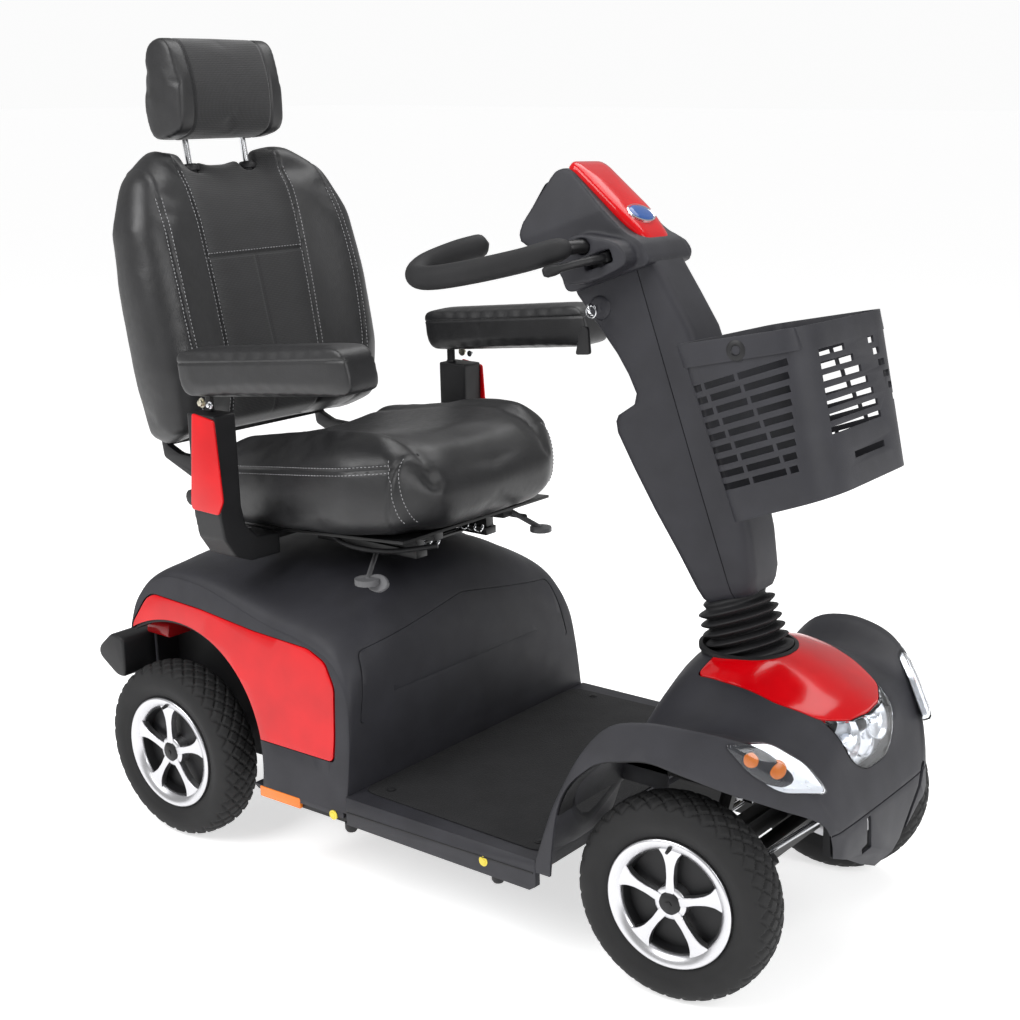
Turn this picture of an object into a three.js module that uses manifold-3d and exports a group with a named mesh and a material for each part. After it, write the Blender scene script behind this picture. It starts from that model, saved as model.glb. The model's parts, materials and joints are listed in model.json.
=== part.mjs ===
// Four-wheel mobility scooter. Millimetres, +X forward, +Y to the rider's left, +Z up.
// The origin is on the ground, in the middle of the wheelbase.
import * as THREE from "three";
import { mergeVertices } from "three/addons/utils/BufferGeometryUtils.js";
import Module from "manifold-3d";

const wasm = await Module();
wasm.setup();

// ---------- driving dimensions ----------
const GAP = 0.4; // clearance between touching pieces
const REAR_AXLE_X = -533;
const FRONT_AXLE_X = 526;
const WHEEL_R = 165;
const TYRE_HALF = 41;
const RIM_R = 106;
const REAR_TRACK = 307; // tyre mid-plane to the centre line
const FRONT_TRACK = 265;
const AXLE_R = 10;
const DECK_TOP = 188;
const BODY_HALF = 337; // half-width over the sills
const SKIN = 6; // wall of the moulded covers
const PANEL_SKIN = 3.5; // wall of the coloured panels let into them
const ARCH_R = 240; // rear wheel arch
const REST_STEER = 5.3; // degrees to the left
const KINGPIN_Y = 196;
const STEER_ARM = 66; // length of the steering arms
const RAKE = 20; // steering axis, degrees from vertical
const STEER_X = 480; // where the steering axis meets the top of the front cover
const STEER_Z = 500;
const POST_X = -270; // seat post and swivel axis
const SEAT_TILT = 4; // degrees, front up
const RECLINE_X = -545; // recline hinge
const RECLINE_Z = 655;
const BACK_LEAN = 9; // degrees from upright
const ARM_Y = 310; // armrest middle plane
const ARM_PIVOT_X = -392;
const ARM_PIVOT_Z = 838;
const ARM_TILT = 6;

const SIDES = [
  ["right", -1],
  ["left", 1],
];
const mirrored = (make) => SIDES.map(([, s]) => make(s));
const rad = THREE.MathUtils.degToRad;

// ---------- materials ----------
function paint(color, roughness, metalness = 0) {
  return new THREE.MeshStandardMaterial({ color, roughness, metalness });
}
const M = {
  charcoal: paint(0x34343a, 0.62),
  black: paint(0x1b1b1d, 0.6),
  red: paint(0xc4000c, 0.25),
  steel: paint(0xb8babd, 0.3, 1),
  frame: paint(0x202124, 0.5, 0.4),
  rubber: paint(0x1e1e20, 0.85),
  rim: paint(0xc4c5c8, 0.3, 0.9),
  leather: paint(0x26262a, 0.5),
  clear: paint(0xdfe6ea, 0.08),
  amber: paint(0xe07812, 0.3),
  silver: paint(0x9a9ca0, 0.4, 0.8),
};

// ---------- solids ----------
function toSolid(geometry) {
  const bare = geometry.clone();
  bare.deleteAttribute("normal");
  bare.deleteAttribute("uv");
  const merged = mergeVertices(bare, 1e-3);
  const vertProperties = new Float32Array(merged.attributes.position.array);
  const kept = [];
  for (let i = 0; i < merged.index.count; i += 3) {
    const [a, b, c] = merged.index.array.slice(i, i + 3);
    if (a !== b && b !== c && c !== a) kept.push(a, b, c);
  }
  return new wasm.Manifold(new wasm.Mesh({ numProp: 3, vertProperties, triVerts: new Uint32Array(kept) }));
}

function toGeometry(body) {
  const mesh = body.getMesh();
  const geometry = new THREE.BufferGeometry();
  geometry.setAttribute("position", new THREE.BufferAttribute(new Float32Array(mesh.vertProperties), 3));
  geometry.setIndex(new THREE.BufferAttribute(new Uint32Array(mesh.triVerts), 1));
  return geometry;
}

const join = (...bodies) => bodies.reduce((a, b) => a.add(b));
const cut = (body, ...tools) => tools.reduce((a, b) => a.subtract(b), body);

function box(x0, x1, y0, y1, z0, z1) {
  const g = new THREE.BoxGeometry(x1 - x0, y1 - y0, z1 - z0);
  g.translate((x0 + x1) / 2, (y0 + y1) / 2, (z0 + z1) / 2);
  return toSolid(g);
}

// A box on one side of the centre line, from y = near out to y = far.
const sideBox = (s, x0, x1, near, far, z0, z1) =>
  box(x0, x1, Math.min(s * near, s * far), Math.max(s * near, s * far), z0, z1);

// A round bar between two points, with an end radius of its own where it tapers.
function bar(a, b, r, sides = 16, r2 = r) {
  const from = new THREE.Vector3(...a);
  const to = new THREE.Vector3(...b);
  const along = to.clone().sub(from);
  const g = new THREE.CylinderGeometry(r2, r, along.length(), sides);
  g.applyQuaternion(new THREE.Quaternion().setFromUnitVectors(new THREE.Vector3(0, 1, 0), along.normalize()));
  const mid = from.add(to).multiplyScalar(0.5);
  g.translate(mid.x, mid.y, mid.z);
  return toSolid(g);
}

// A closed outline of [u, v] points, with the corners rounded by r.
function outline(points, r = 0) {
  const shape = new THREE.Shape();
  const n = points.length;
  points.forEach((p, i) => {
    const here = new THREE.Vector2(...p);
    if (r === 0) {
      if (i === 0) shape.moveTo(here.x, here.y);
      else shape.lineTo(here.x, here.y);
      return;
    }
    const before = new THREE.Vector2(...points[(i + n - 1) % n]);
    const after = new THREE.Vector2(...points[(i + 1) % n]);
    const inR = Math.min(r, here.distanceTo(before) * 0.45);
    const outR = Math.min(r, here.distanceTo(after) * 0.45);
    const start = here.clone().add(before.sub(here).setLength(inR));
    const end = here.clone().add(after.sub(here).setLength(outR));
    if (i === 0) shape.moveTo(start.x, start.y);
    else shape.lineTo(start.x, start.y);
    shape.quadraticCurveTo(here.x, here.y, end.x, end.y);
  });
  shape.closePath();
  return shape;
}

// Extrusions of an outline: drawn in XZ and run along Y, or drawn in XY and run up Z.
function alongY(shape, y0, y1, curveSegments = 3) {
  const g = new THREE.ExtrudeGeometry(shape, { depth: y1 - y0, bevelEnabled: false, curveSegments });
  g.rotateX(Math.PI / 2);
  g.translate(0, y1, 0);
  return toSolid(g);
}

// The same outline run along Y on one side of the centre line.
const sideRun = (s, shape, near, far) =>
  alongY(shape, Math.min(s * near, s * far), Math.max(s * near, s * far));

// Drawn in YZ and run along X.
function alongX(shape, x0, x1, curveSegments = 3) {
  const g = new THREE.ExtrudeGeometry(shape, { depth: x1 - x0, bevelEnabled: false, curveSegments });
  g.rotateX(Math.PI / 2);
  g.rotateZ(Math.PI / 2);
  g.translate(x0, 0, 0);
  return toSolid(g);
}

function alongZ(shape, z0, z1, curveSegments = 3) {
  const g = new THREE.ExtrudeGeometry(shape, { depth: z1 - z0, bevelEnabled: false, curveSegments });
  g.translate(0, 0, z0);
  return toSolid(g);
}

// A tube of a section swept along a smooth line through points; bore > 0 leaves it hollow.
function sweep(points, r, steps, sides = 10, bore = 0) {
  const ring = (radius) => {
    const turns = [...Array(sides).keys()].map((i) => (i / sides) * 2 * Math.PI);
    return turns.map((t) => new THREE.Vector2(radius * Math.cos(t), radius * Math.sin(t)));
  };
  const shape = new THREE.Shape(ring(r));
  if (bore > 0) shape.holes.push(new THREE.Path(ring(bore)));
  const extrudePath = new THREE.CatmullRomCurve3(points.map((p) => new THREE.Vector3(...p)));
  return toSolid(new THREE.ExtrudeGeometry(shape, { steps, extrudePath, bevelEnabled: false }));
}

// A skin through closed rings of equal length, stacked along an axis (0 for X, 2 for Z), with flat ends.
function loft(rings, axis = 0) {
  const flat = (ring) => ring.map((p) => new THREE.Vector2(p[(axis + 1) % 3], p[(axis + 2) % 3]));
  const clockwise = THREE.ShapeUtils.isClockWise(flat(rings[0]));
  const turned = clockwise ? rings.map((ring) => [...ring].reverse()) : rings;
  const n = turned[0].length;
  const last = (turned.length - 1) * n;
  const index = [];
  for (let start = 0; start < last; start += n) {
    for (let i = 0; i < n; i++) {
      const a = start + i;
      const b = start + ((i + 1) % n);
      index.push(a, b, b + n, a, b + n, a + n);
    }
  }
  const cap = (ring) => THREE.ShapeUtils.triangulateShape(flat(ring), []);
  cap(turned[0]).forEach(([a, b, c]) => index.push(a, c, b));
  cap(turned[turned.length - 1]).forEach(([a, b, c]) => index.push(last + a, last + b, last + c));
  const g = new THREE.BufferGeometry();
  g.setAttribute("position", new THREE.BufferAttribute(new Float32Array(turned.flat(2)), 3));
  g.setIndex(index);
  return toSolid(g);
}

// A half outline of [y, z] points from the bottom edge to the crest, mirrored into a whole ring at x.
function mirroredRing(x, half) {
  const left = half.map(([y, z]) => [x, y, z]);
  const right = half.filter(([y]) => y > 0).map(([y, z]) => [x, -y, z]);
  return [...left, ...right.reverse()];
}

// A body of revolution about Y through (x, z), from a closed profile of [radius, y] points.
function turned(profile, x, y, z, sides) {
  const g = new THREE.LatheGeometry(
    profile.map(([r, h]) => new THREE.Vector2(r, h)),
    sides,
  );
  g.translate(x, y, z);
  const body = toSolid(g);
  if (body.volume() > 0) return body;
  return turned([...profile].reverse(), x, y, z, sides);
}

// ---------- scene graph ----------
const scooter = new THREE.Group();

function put(name, body, material, parent = scooter) {
  const mesh = new THREE.Mesh(toGeometry(body), material);
  mesh.name = name;
  parent.add(mesh);
  return mesh;
}

// The tiller's own frame: its origin is on the steering axis, +Z runs up the column.
const tiller = new THREE.Group();
tiller.position.set(STEER_X, 0, STEER_Z);
tiller.rotation.order = "YZX";
tiller.rotation.set(0, rad(-RAKE), rad(REST_STEER));
scooter.add(tiller);

// ---------- chassis ----------
const RAIL_Y = 115;
const RAIL_HALF = 15;
const RAIL_BOTTOM = 130;
const RAIL_TOP = 164;
const RAIL_REAR = -655;
const RAIL_FRONT = 560;
const BEAM_X = FRONT_AXLE_X - 30; // front beam, just behind the axle line
const STEM_R = 16;

// A point on the steering axis, h above the tiller's origin.
const onAxis = (h) => [STEER_X - h * Math.sin(rad(RAKE)), 0, STEER_Z + h * Math.cos(rad(RAKE))];

// Axle tube, gearbox, motor and parking brake, grown by a margin.
function driveBody(margin) {
  const gearZ = WHEEL_R + 8;
  const motorZ = WHEEL_R + 24;
  const motorEnd = REAR_AXLE_X + 215;
  const tube = bar([REAR_AXLE_X, -252, WHEEL_R], [REAR_AXLE_X, 252, WHEEL_R], 19 + margin, 12);
  const gearbox = bar([REAR_AXLE_X, -48 - margin, gearZ], [REAR_AXLE_X, 48 + margin, gearZ], 60 + margin, 16);
  const motor = bar([REAR_AXLE_X + 10, 0, motorZ], [motorEnd + margin, 0, motorZ], 42 + margin, 16);
  return join(tube, gearbox, motor);
}

function chassisFrame() {
  const rails = mirrored((s) =>
    sideBox(s, RAIL_REAR, RAIL_FRONT, RAIL_Y - RAIL_HALF, RAIL_Y + RAIL_HALF, RAIL_BOTTOM, RAIL_TOP),
  );
  const crossings = [-622, -400, POST_X, 100, 545];
  const cross = crossings.map((x) => box(x - 15, x + 15, -RAIL_Y, RAIL_Y, RAIL_BOTTOM + 2, RAIL_TOP - 2));
  const socket = bar([POST_X, 0, RAIL_BOTTOM + 3], [POST_X, 0, 470], 34, 16);
  const legs = mirrored((s) => bar([POST_X, s * RAIL_Y, 150], [POST_X, s * 20, 330], 12, 6));
  const beam = box(BEAM_X - 16, BEAM_X + 16, -KINGPIN_Y + 45, KINGPIN_Y - 45, 148, 184);
  const eyes = mirrored((s) => {
    const y = s * KINGPIN_Y;
    const arm = (z) => sideBox(s, BEAM_X - 16, FRONT_AXLE_X + 12, KINGPIN_Y - 60, KINGPIN_Y, z - 6, z + 6);
    const boss = (z) => bar([FRONT_AXLE_X, y, z - 6], [FRONT_AXLE_X, y, z + 6], 14, 12);
    return join(arm(144), arm(188), boss(144), boss(188));
  });
  const head = bar(onAxis(-250), onAxis(-60), 26, 16);
  const [mastX, , mastZ] = onAxis(-90);
  const mast = mirrored((s) => bar([BEAM_X, s * RAIL_Y, 150], [mastX, s * 14, mastZ], 12, 6));
  const whole = join(...rails, ...cross, socket, ...legs, beam, ...eyes, head, ...mast);
  const kingpin = (s, z) => [FRONT_AXLE_X, s * KINGPIN_Y, z];
  const pins = mirrored((s) => bar(kingpin(s, 120), kingpin(s, 210), 8.5, 12));
  const postBore = bar([POST_X, 0, 180], [POST_X, 0, 480], 25.5, 16);
  const stemBore = bar(onAxis(-262), onAxis(-40), STEM_R + 0.6, 16);
  return cut(whole, postBore, stemBore, ...pins, driveBody(GAP));
}
put("chassis_frame", chassisFrame(), M.frame);

// Motor, gearbox and rear axle in one housing, seated in the rails.
function transaxle() {
  const motorZ = WHEEL_R + 24;
  const brake = bar([REAR_AXLE_X + 200, 0, motorZ], [REAR_AXLE_X + 226, 0, motorZ], 30, 12);
  const reach = REAR_TRACK + 30;
  const stubs = bar([REAR_AXLE_X, -reach, WHEEL_R], [REAR_AXLE_X, reach, WHEEL_R], AXLE_R, 12);
  return join(driveBody(0), brake, stubs);
}
put("transaxle", transaxle(), M.silver);

// One battery each side of the seat post, standing on the frame.
const BATTERY = { x0: -230, x1: -110, top: 345, near: 60, far: 225 };
SIDES.forEach(([side, s]) => {
  const { x0, x1, top, near, far } = BATTERY;
  const floor = RAIL_TOP + GAP;
  const face = outline([[x0, floor], [x1, floor], [x1, top], [x0, top]], 10);
  put("battery_" + side, sideRun(s, face, near, far), M.black);
});

// Deck pan with a stiffening skirt at each side, on two pads over the rails.
const DECK_X0 = -92;
const DECK_X1 = 312;
function floorDeck() {
  const plate = box(DECK_X0, DECK_X1, -BODY_HALF, BODY_HALF, DECK_TOP - 12, DECK_TOP);
  const low = [[DECK_X0, 138], [DECK_X1 - 12, 134], [DECK_X1, 142]];
  const skirt = outline([...low, [DECK_X1, DECK_TOP], [DECK_X0, DECK_TOP]]);
  const skirts = mirrored((s) => sideRun(s, skirt, BODY_HALF - 12, BODY_HALF));
  const ribEnd = BODY_HALF - 4;
  const ribs = [-60, 100, 260].map((x) => box(x - 6, x + 6, -ribEnd, ribEnd, RAIL_TOP + 4, DECK_TOP - 10));
  const pads = mirrored((s) =>
    sideBox(s, -60, 260, RAIL_Y - RAIL_HALF, RAIL_Y + RAIL_HALF, RAIL_TOP + GAP, DECK_TOP - 10),
  );
  return join(plate, ...skirts, ...ribs, ...pads);
}
put("floor_deck", floorDeck(), M.charcoal);

// ---------- rear body ----------
// Stations of the rear cover: x, shoulder height, crest height.
const COVER_BASE = 158;
const COVER = [
  [-656, 394, 410],
  [-642, 438, 456],
  [-608, 474, 496],
  [-552, 494, 518],
  [-450, 488, 531],
  [-310, 455, 532],
  [-220, 442, 528],
  [-160, 424, 514],
  [-126, 396, 482],
  [-104, 356, 428],
  [-95, 290, 334],
  [-92.5, 230, 240],
];

// A section of the cover: the sides lean in, and the shoulder rolls over to the crest.
function coverRing([x, shoulder, crest], inset) {
  const top = shoulder - inset;
  const rise = crest - shoulder;
  const low = inset > 0 ? COVER_BASE - 20 : COVER_BASE;
  const lean = BODY_HALF - inset - 0.12 * (shoulder - COVER_BASE);
  return mirroredRing(x, [
    [BODY_HALF - inset, low],
    [lean, top - 26],
    [lean - 5, top - 9],
    [lean - 20, top + rise * 0.12],
    [lean - 70, top + rise * 0.42],
    [150, top + rise * 0.82],
    [0, top + rise],
  ]);
}

// The cover's outer form moved inwards by an inset; negative insets stand proud of it.
function coverForm(inset) {
  const middle = (COVER[0][0] + COVER[COVER.length - 1][0]) / 2;
  const half = middle - COVER[0][0];
  const shrink = (half - inset) / half;
  return loft(COVER.map(([x, a, b]) => coverRing([middle + (x - middle) * shrink, a, b], inset)));
}

// Side panel outline, between the shoulder and the wheel arch.
const PANEL = [
  [-620, 436],
  [-600, 448],
  [-470, 442],
  [-333, 428],
  [-198, 422],
  [-157, 406],
  [-132, 366],
  [-125, 280],
  [-125, 238],
  [-318, 238],
  [-380, 300],
  [-420, 340],
  [-652, 340],
  [-655, 384],
];
const PANEL_MIDDLE = [-370, 350];
function panelShape(scale) {
  const [mx, mz] = PANEL_MIDDLE;
  return outline(PANEL.map(([x, z]) => [mx + (x - mx) * scale, mz + (z - mz) * scale]), 8);
}
const wheelArch = (r) => bar([REAR_AXLE_X, -400, WHEEL_R], [REAR_AXLE_X, 400, WHEEL_R], r, 28);

function rearCover() {
  const arches = cut(wheelArch(ARCH_R), box(-900, 0, -258, 258, -200, 600));
  const behindWheels = mirrored((s) => sideBox(s, -900, REAR_AXLE_X, 258, 420, 0, 300));
  const pocket = cut(alongY(panelShape(1), -400, 400), coverForm(PANEL_SKIN));
  const postHole = bar([POST_X, 0, 300], [POST_X, 0, 700], 62, 20);
  const railSlots = mirrored((s) => sideBox(s, -700, -60, RAIL_Y - 18, RAIL_Y + 18, 0, RAIL_TOP + 4));
  return cut(coverForm(0), coverForm(SKIN + 2), arches, ...behindWheels, pocket, postHole, ...railSlots);
}
put("rear_cover", rearCover(), M.charcoal);

SIDES.forEach(([side, s]) => {
  const slab = sideRun(s, panelShape(0.988), 200, 400).intersect(coverForm(0));
  put("side_panel_" + side, cut(slab, coverForm(PANEL_SKIN - GAP), wheelArch(ARCH_R + 1)), M.red);
});

// Wedge bumper across the back, on two arms bolted to the rail ends.
const BUMPER = [[-668, 352], [-700, 358], [-740, 324], [-740, 306], [-692, 274], [-668, 276]];
function rearBumper() {
  const wedge = alongY(outline(BUMPER, 12), -322, 322);
  const arms = mirrored((s) => sideBox(s, -690, RAIL_REAR - GAP, RAIL_Y - 12, RAIL_Y + 12, RAIL_BOTTOM, 300));
  return cut(join(wedge, ...arms), box(RAIL_REAR - 2.4, -600, -200, 200, RAIL_TOP + 4, 400));
}
put("rear_bumper", rearBumper(), M.black);

// Amber side reflectors under the cover's front corner.
SIDES.forEach(([side, s]) => {
  const face = outline([[-302, 136], [-202, 136], [-202, COVER_BASE - GAP], [-302, COVER_BASE - GAP]], 3);
  put("side_reflector_" + side, sideRun(s, face, 312, BODY_HALF - 1), M.amber);
});

// ---------- front body ----------
// Stations: x, half-width at the base, fender edge y z, valley y z, hood edge y z, crest z.
const SHROUD_BASE = 168;
const SHROUD = [
  [313, 337, 333, 200, 250, 192, 120, 193, 194],
  [328, 337, 330, 252, 250, 205, 116, 238, 280],
  [348, 337, 328, 300, 245, 245, 113, 302, 356],
  [388, 337, 325, 372, 235, 315, 113, 390, 436],
  [438, 336, 322, 426, 226, 378, 118, 450, 479],
  [501, 332, 315, 445, 220, 412, 125, 468, 490],
  [560, 320, 302, 445, 214, 422, 124, 462, 484],
  [610, 298, 280, 437, 200, 422, 118, 447, 467],
  [650, 268, 250, 420, 185, 412, 108, 432, 449],
  [680, 240, 224, 390, 165, 397, 98, 416, 434],
  [702, 216, 200, 358, 145, 370, 85, 393, 412],
  [716, 198, 184, 332, 132, 340, 75, 345, 350],
  [730, 176, 162, 296, 112, 300, 60, 303, 304],
  [740, 144, 132, 258, 90, 262, 50, 263, 264],
];

function shroudForm(inset) {
  const middle = (SHROUD[0][0] + SHROUD[SHROUD.length - 1][0]) / 2;
  const half = middle - SHROUD[0][0];
  const shrink = (half - inset) / half;
  const low = inset > 0 ? SHROUD_BASE - 30 : SHROUD_BASE;
  return loft(
    SHROUD.map(([x, yb, ys, zs, yv, zv, yh, zh, zc]) =>
      mirroredRing(middle + (x - middle) * shrink, [
        [yb - inset, low],
        [yb - inset, (SHROUD_BASE + zs) / 2],
        [ys - inset * 0.9, zs - 8 - inset],
        [ys - 18 - inset * 0.5, zs - inset],
        [yv, zv - inset],
        [yh, zh - inset],
        [0, zc - inset],
      ]),
    ),
  );
}

// Each front wheel's well, cut through the side of the shroud.
const WELL = [
  [330, 60],
  [352, 290],
  [372, 330],
  [425, 378],
  [509, 398],
  [590, 376],
  [662, 344],
  [722, 306],
  [733, 270],
  [742, 60],
];
const HOOD = [[462, 112], [520, 120], [610, 114], [672, 92], [697, 50], [703, 0]];
const HOOD_MIDDLE = 582;
function hoodShape(scale) {
  const half = HOOD.map(([x, y]) => [HOOD_MIDDLE + (x - HOOD_MIDDLE) * scale, y * scale]);
  const other = half.slice(0, -1).map(([x, y]) => [x, -y]);
  return outline([...half, ...other.reverse()], 14);
}
const bellowsHole = () => bar([488, 0, 300], [488, 0, 700], 76, 20);

// The headlight sits in a leaf-shaped opening of the nose, grown by a margin.
function lampSeat(margin) {
  const wide = 78 + margin;
  const top = 402 + margin;
  const leaf = [[-wide, top], [wide, top], [wide - 18, 365], [0, 330 - margin], [18 - wide, 365]];
  return alongX(outline(leaf, 16), 670, 750);
}

function frontShroud() {
  const wells = mirrored((s) => sideRun(s, outline(WELL, 20), 154, 420));
  const under = box(300, 716, -153, 153, 0, 262);
  const chin = [[45, 172], [105, 200], [150, 228], [400, 236], [400, 0]];
  const chinRight = chin.map(([y, z]) => [-y, z]).reverse();
  const chinCut = alongX(outline([...chin, ...chinRight]), 640, 760);
  const hoodPocket = cut(alongZ(hoodShape(1), 380, 600), shroudForm(PANEL_SKIN));
  const openings = [...wells, under, chinCut, hoodPocket, lampSeat(1), bellowsHole()];
  return cut(shroudForm(0), shroudForm(SKIN), ...openings);
}
put("front_shroud", frontShroud(), M.charcoal);

function hoodPanel() {
  const skin = cut(alongZ(hoodShape(0.985), 380, 600).intersect(shroudForm(0)), shroudForm(PANEL_SKIN - GAP));
  return cut(skin, bellowsHole(), lampSeat(3));
}
put("hood_panel", hoodPanel(), M.red);
put("headlight", cut(lampSeat(-0.5).intersect(shroudForm(0.5)), shroudForm(18)), M.clear);

// Leaf-shaped indicators, standing on the cheeks.
const LEAF = [[0, 0], [0.3, -0.13], [0.62, -0.16], [1, 0], [0.72, 0.14], [0.35, 0.17]];
SIDES.forEach(([side, s]) => {
  const tail = new THREE.Vector3(614, s * 268, 424);
  const tip = new THREE.Vector3(722, s * 164, 343);
  const reach = tip.clone().sub(tail);
  const size = reach.length();
  const shape = outline(LEAF.map(([u, v]) => [u * size, v * size]), 14);
  const g = new THREE.ExtrudeGeometry(shape, { depth: 14, bevelEnabled: false, curveSegments: 3 });
  const along = reach.clone().normalize();
  const out = new THREE.Vector3(0.55, s * 0.72, 0.42).normalize();
  out.sub(along.clone().multiplyScalar(out.dot(along))).normalize();
  const across = out.clone().cross(along);
  const base = tail.clone().addScaledVector(out, 4);
  g.applyMatrix4(new THREE.Matrix4().makeBasis(along, across, out).setPosition(base));
  put("indicator_" + side, cut(toSolid(g), shroudForm(-GAP)), M.clear);
});

// ---------- wheels ----------
const TYRE_PROFILE = [
  [RIM_R + GAP, -34],
  [RIM_R + 24, -TYRE_HALF],
  [WHEEL_R - 12, -36],
  [WHEEL_R, -14],
  [WHEEL_R, 14],
  [WHEEL_R - 12, 36],
  [RIM_R + 24, TYRE_HALF],
  [RIM_R + GAP, 34],
  [RIM_R + GAP, -34],
];
const BARREL = [[RIM_R - 12, -36], [RIM_R, -36], [RIM_R, 36], [RIM_R - 18, 38], [RIM_R - 12, -36]];
const HUB = [[AXLE_R + GAP, -18], [26, -18], [26, 34], [AXLE_R + GAP, 34], [AXLE_R + GAP, -18]];
const SPOKES = 5;
const WHEEL_SIDES = 24;

// A spoked rim about Y, its dished face towards +Y.
function rimBody() {
  const spokes = [...Array(SPOKES).keys()].map((i) => {
    const spoke = outline([[-9, 18], [9, 18], [15, 89], [-15, 89]]);
    const g = new THREE.ExtrudeGeometry(spoke, { depth: 13, bevelEnabled: false });
    g.rotateX(Math.PI / 2);
    g.translate(0, 33, 0);
    g.rotateY((i / SPOKES) * 2 * Math.PI);
    return toSolid(g);
  });
  const rim = join(turned(BARREL, 0, 0, 0, WHEEL_SIDES), turned(HUB, 0, 0, 0, 12), ...spokes);
  return cut(rim, bar([0, -60, 0], [0, 60, 0], AXLE_R + GAP, 12));
}

// Tyre and rim, at the axle's height, on a spindle that runs along Y.
function wheel(name, x, y, side) {
  const face = new THREE.Group();
  face.position.set(x, y, WHEEL_R);
  face.rotation.z = side < 0 ? Math.PI : 0;
  put("tyre_" + name, turned(TYRE_PROFILE, 0, 0, 0, WHEEL_SIDES), M.rubber, face);
  put("rim_" + name, rimBody(), M.rim, face);
  return face;
}

// Each front wheel hangs on a knuckle, in a group turned about its kingpin.
SIDES.forEach(([side, s]) => {
  scooter.add(wheel("rear_" + side, REAR_AXLE_X, s * REAR_TRACK, s));
  const knuckle = new THREE.Group();
  knuckle.position.set(FRONT_AXLE_X, s * KINGPIN_Y, 0);
  knuckle.rotation.z = rad(REST_STEER);
  const spindle = FRONT_TRACK - KINGPIN_Y;
  knuckle.add(wheel("front_" + side, 0, s * spindle, s));
  const pin = bar([0, 0, 132], [0, 0, 200], 8, 12);
  const block = box(-13, 13, -13, 13, 151, 181);
  const stub = bar([0, 0, WHEEL_R], [0, s * (spindle + 30), WHEEL_R], AXLE_R, 12);
  const arm = box(-STEER_ARM - 10, 0, -7, 7, 168, 178);
  put("knuckle_" + side, join(pin, block, stub, arm), M.frame, knuckle);
  scooter.add(knuckle);
});

// Tie rod on top of the two steering arms, with a bracket up to the column's drop arm.
function tieRod() {
  const x = FRONT_AXLE_X - STEER_ARM * Math.cos(rad(REST_STEER));
  const shift = -STEER_ARM * Math.sin(rad(REST_STEER));
  const rod = bar([x, shift - KINGPIN_Y, 186], [x, shift + KINGPIN_Y, 186], 6, 8);
  const ends = mirrored((s) => bar([x, shift + s * KINGPIN_Y, 179], [x, shift + s * KINGPIN_Y, 192], 9, 10));
  const upright = box(x - 5, x + 5, shift - 8, shift + 8, 184, 222);
  const shelf = box(x - 5, x + 50, shift - 8, shift + 8, 214, 222);
  return join(rod, ...ends, upright, shelf);
}
put("tie_rod", tieRod(), M.steel);

// ---------- steering column, in the tiller's frame ----------
const HINGE_H = 34; // tilt hinge above the tiller's origin
function steeringStem() {
  const shaft = bar([0, 0, -256], [0, 0, 10], STEM_R, 16);
  const collar = bar([0, 0, -58], [0, 0, -50], 24, 16);
  const fork = mirrored((s) => sideBox(s, -16, 16, 20, 29, 0, HINGE_H + 16));
  const yoke = box(-16, 16, -29, 29, -8, 10);
  const dropArm = box(-STEER_ARM - 8, 10, -9, 9, -268, -256);
  return join(shaft, collar, yoke, ...fork, dropArm);
}
put("steering_stem", steeringStem(), M.frame, tiller);

// Rubber bellows round the fork.
const FOLDS = 4;
const FOLD = 17; // height of one fold
const BELLOWS_LOW = -24;
const BELLOWS_R = 66;
function bellows() {
  const outer = [];
  const inner = [];
  for (let i = 0; i <= 2 * FOLDS; i++) {
    const h = BELLOWS_LOW + (i * FOLD) / 2;
    const r = i % 2 === 0 ? BELLOWS_R - 12 : BELLOWS_R;
    outer.push([r, h]);
    inner.unshift([r - 5, h]);
  }
  const profile = [...outer, ...inner, outer[0]].map(([r, h]) => new THREE.Vector2(r, h));
  const g = new THREE.LatheGeometry(profile, 16);
  g.rotateX(Math.PI / 2);
  return toSolid(g);
}
put("bellows", bellows(), M.rubber, tiller);

// The column's outline in its own XZ plane: front edge upwards, then rear edge down.
const COLUMN_LOW = 62;
const COLUMN_HALF = 52;
const FRONT_EDGE = [[64, COLUMN_LOW + 14], [82, 150], [88, 230], [86, 480], [58, 588]];
const REAR_EDGE = [
  [-98, 588],
  [-78, 534],
  [-63, 497],
  [-49, 444],
  [-44, 404],
  [-92, 388],
  [-99, 366],
  [-75, 246],
  [-42, 106],
  [-30, COLUMN_LOW],
];
const SPLIT = 24; // the two shells part here
const KEY_AT = [-58, 556]; // key switch in the near side of the rear shell
const TILT_Z = 330; // tilt release lever
const keyBore = () => bar([KEY_AT[0], -90, KEY_AT[1]], [KEY_AT[0], -40, KEY_AT[1]], 9, 12);

function column() {
  const outer = alongY(outline([...FRONT_EDGE, ...REAR_EDGE], 10), -COLUMN_HALF, COLUMN_HALF);
  const inwards = ([x, z]) => [SPLIT + (x - SPLIT) * 0.86, z];
  const room = outline([...FRONT_EDGE.map(inwards), ...REAR_EDGE.map(inwards)], 6);
  const hollow = alongY(room, SKIN - COLUMN_HALF, COLUMN_HALF - SKIN);
  const throughEnds = box(-20, 52, -42, 42, 20, 620);
  const leverSlot = box(-140, -56, -8, 8, TILT_Z - 20, TILT_Z + 16);
  const shell = cut(outer, join(hollow, throughEnds), keyBore(), leverSlot);
  const front = shell.intersect(box(SPLIT + GAP, 200, -100, 100, 0, 700));
  const rear = shell.intersect(box(-300, SPLIT, -100, 100, 0, 700));
  return { front, rear };
}
const shells = column();
put("tiller_cover_front", shells.front, M.charcoal, tiller);
put("tiller_cover_rear", shells.rear, M.charcoal, tiller);

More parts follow.
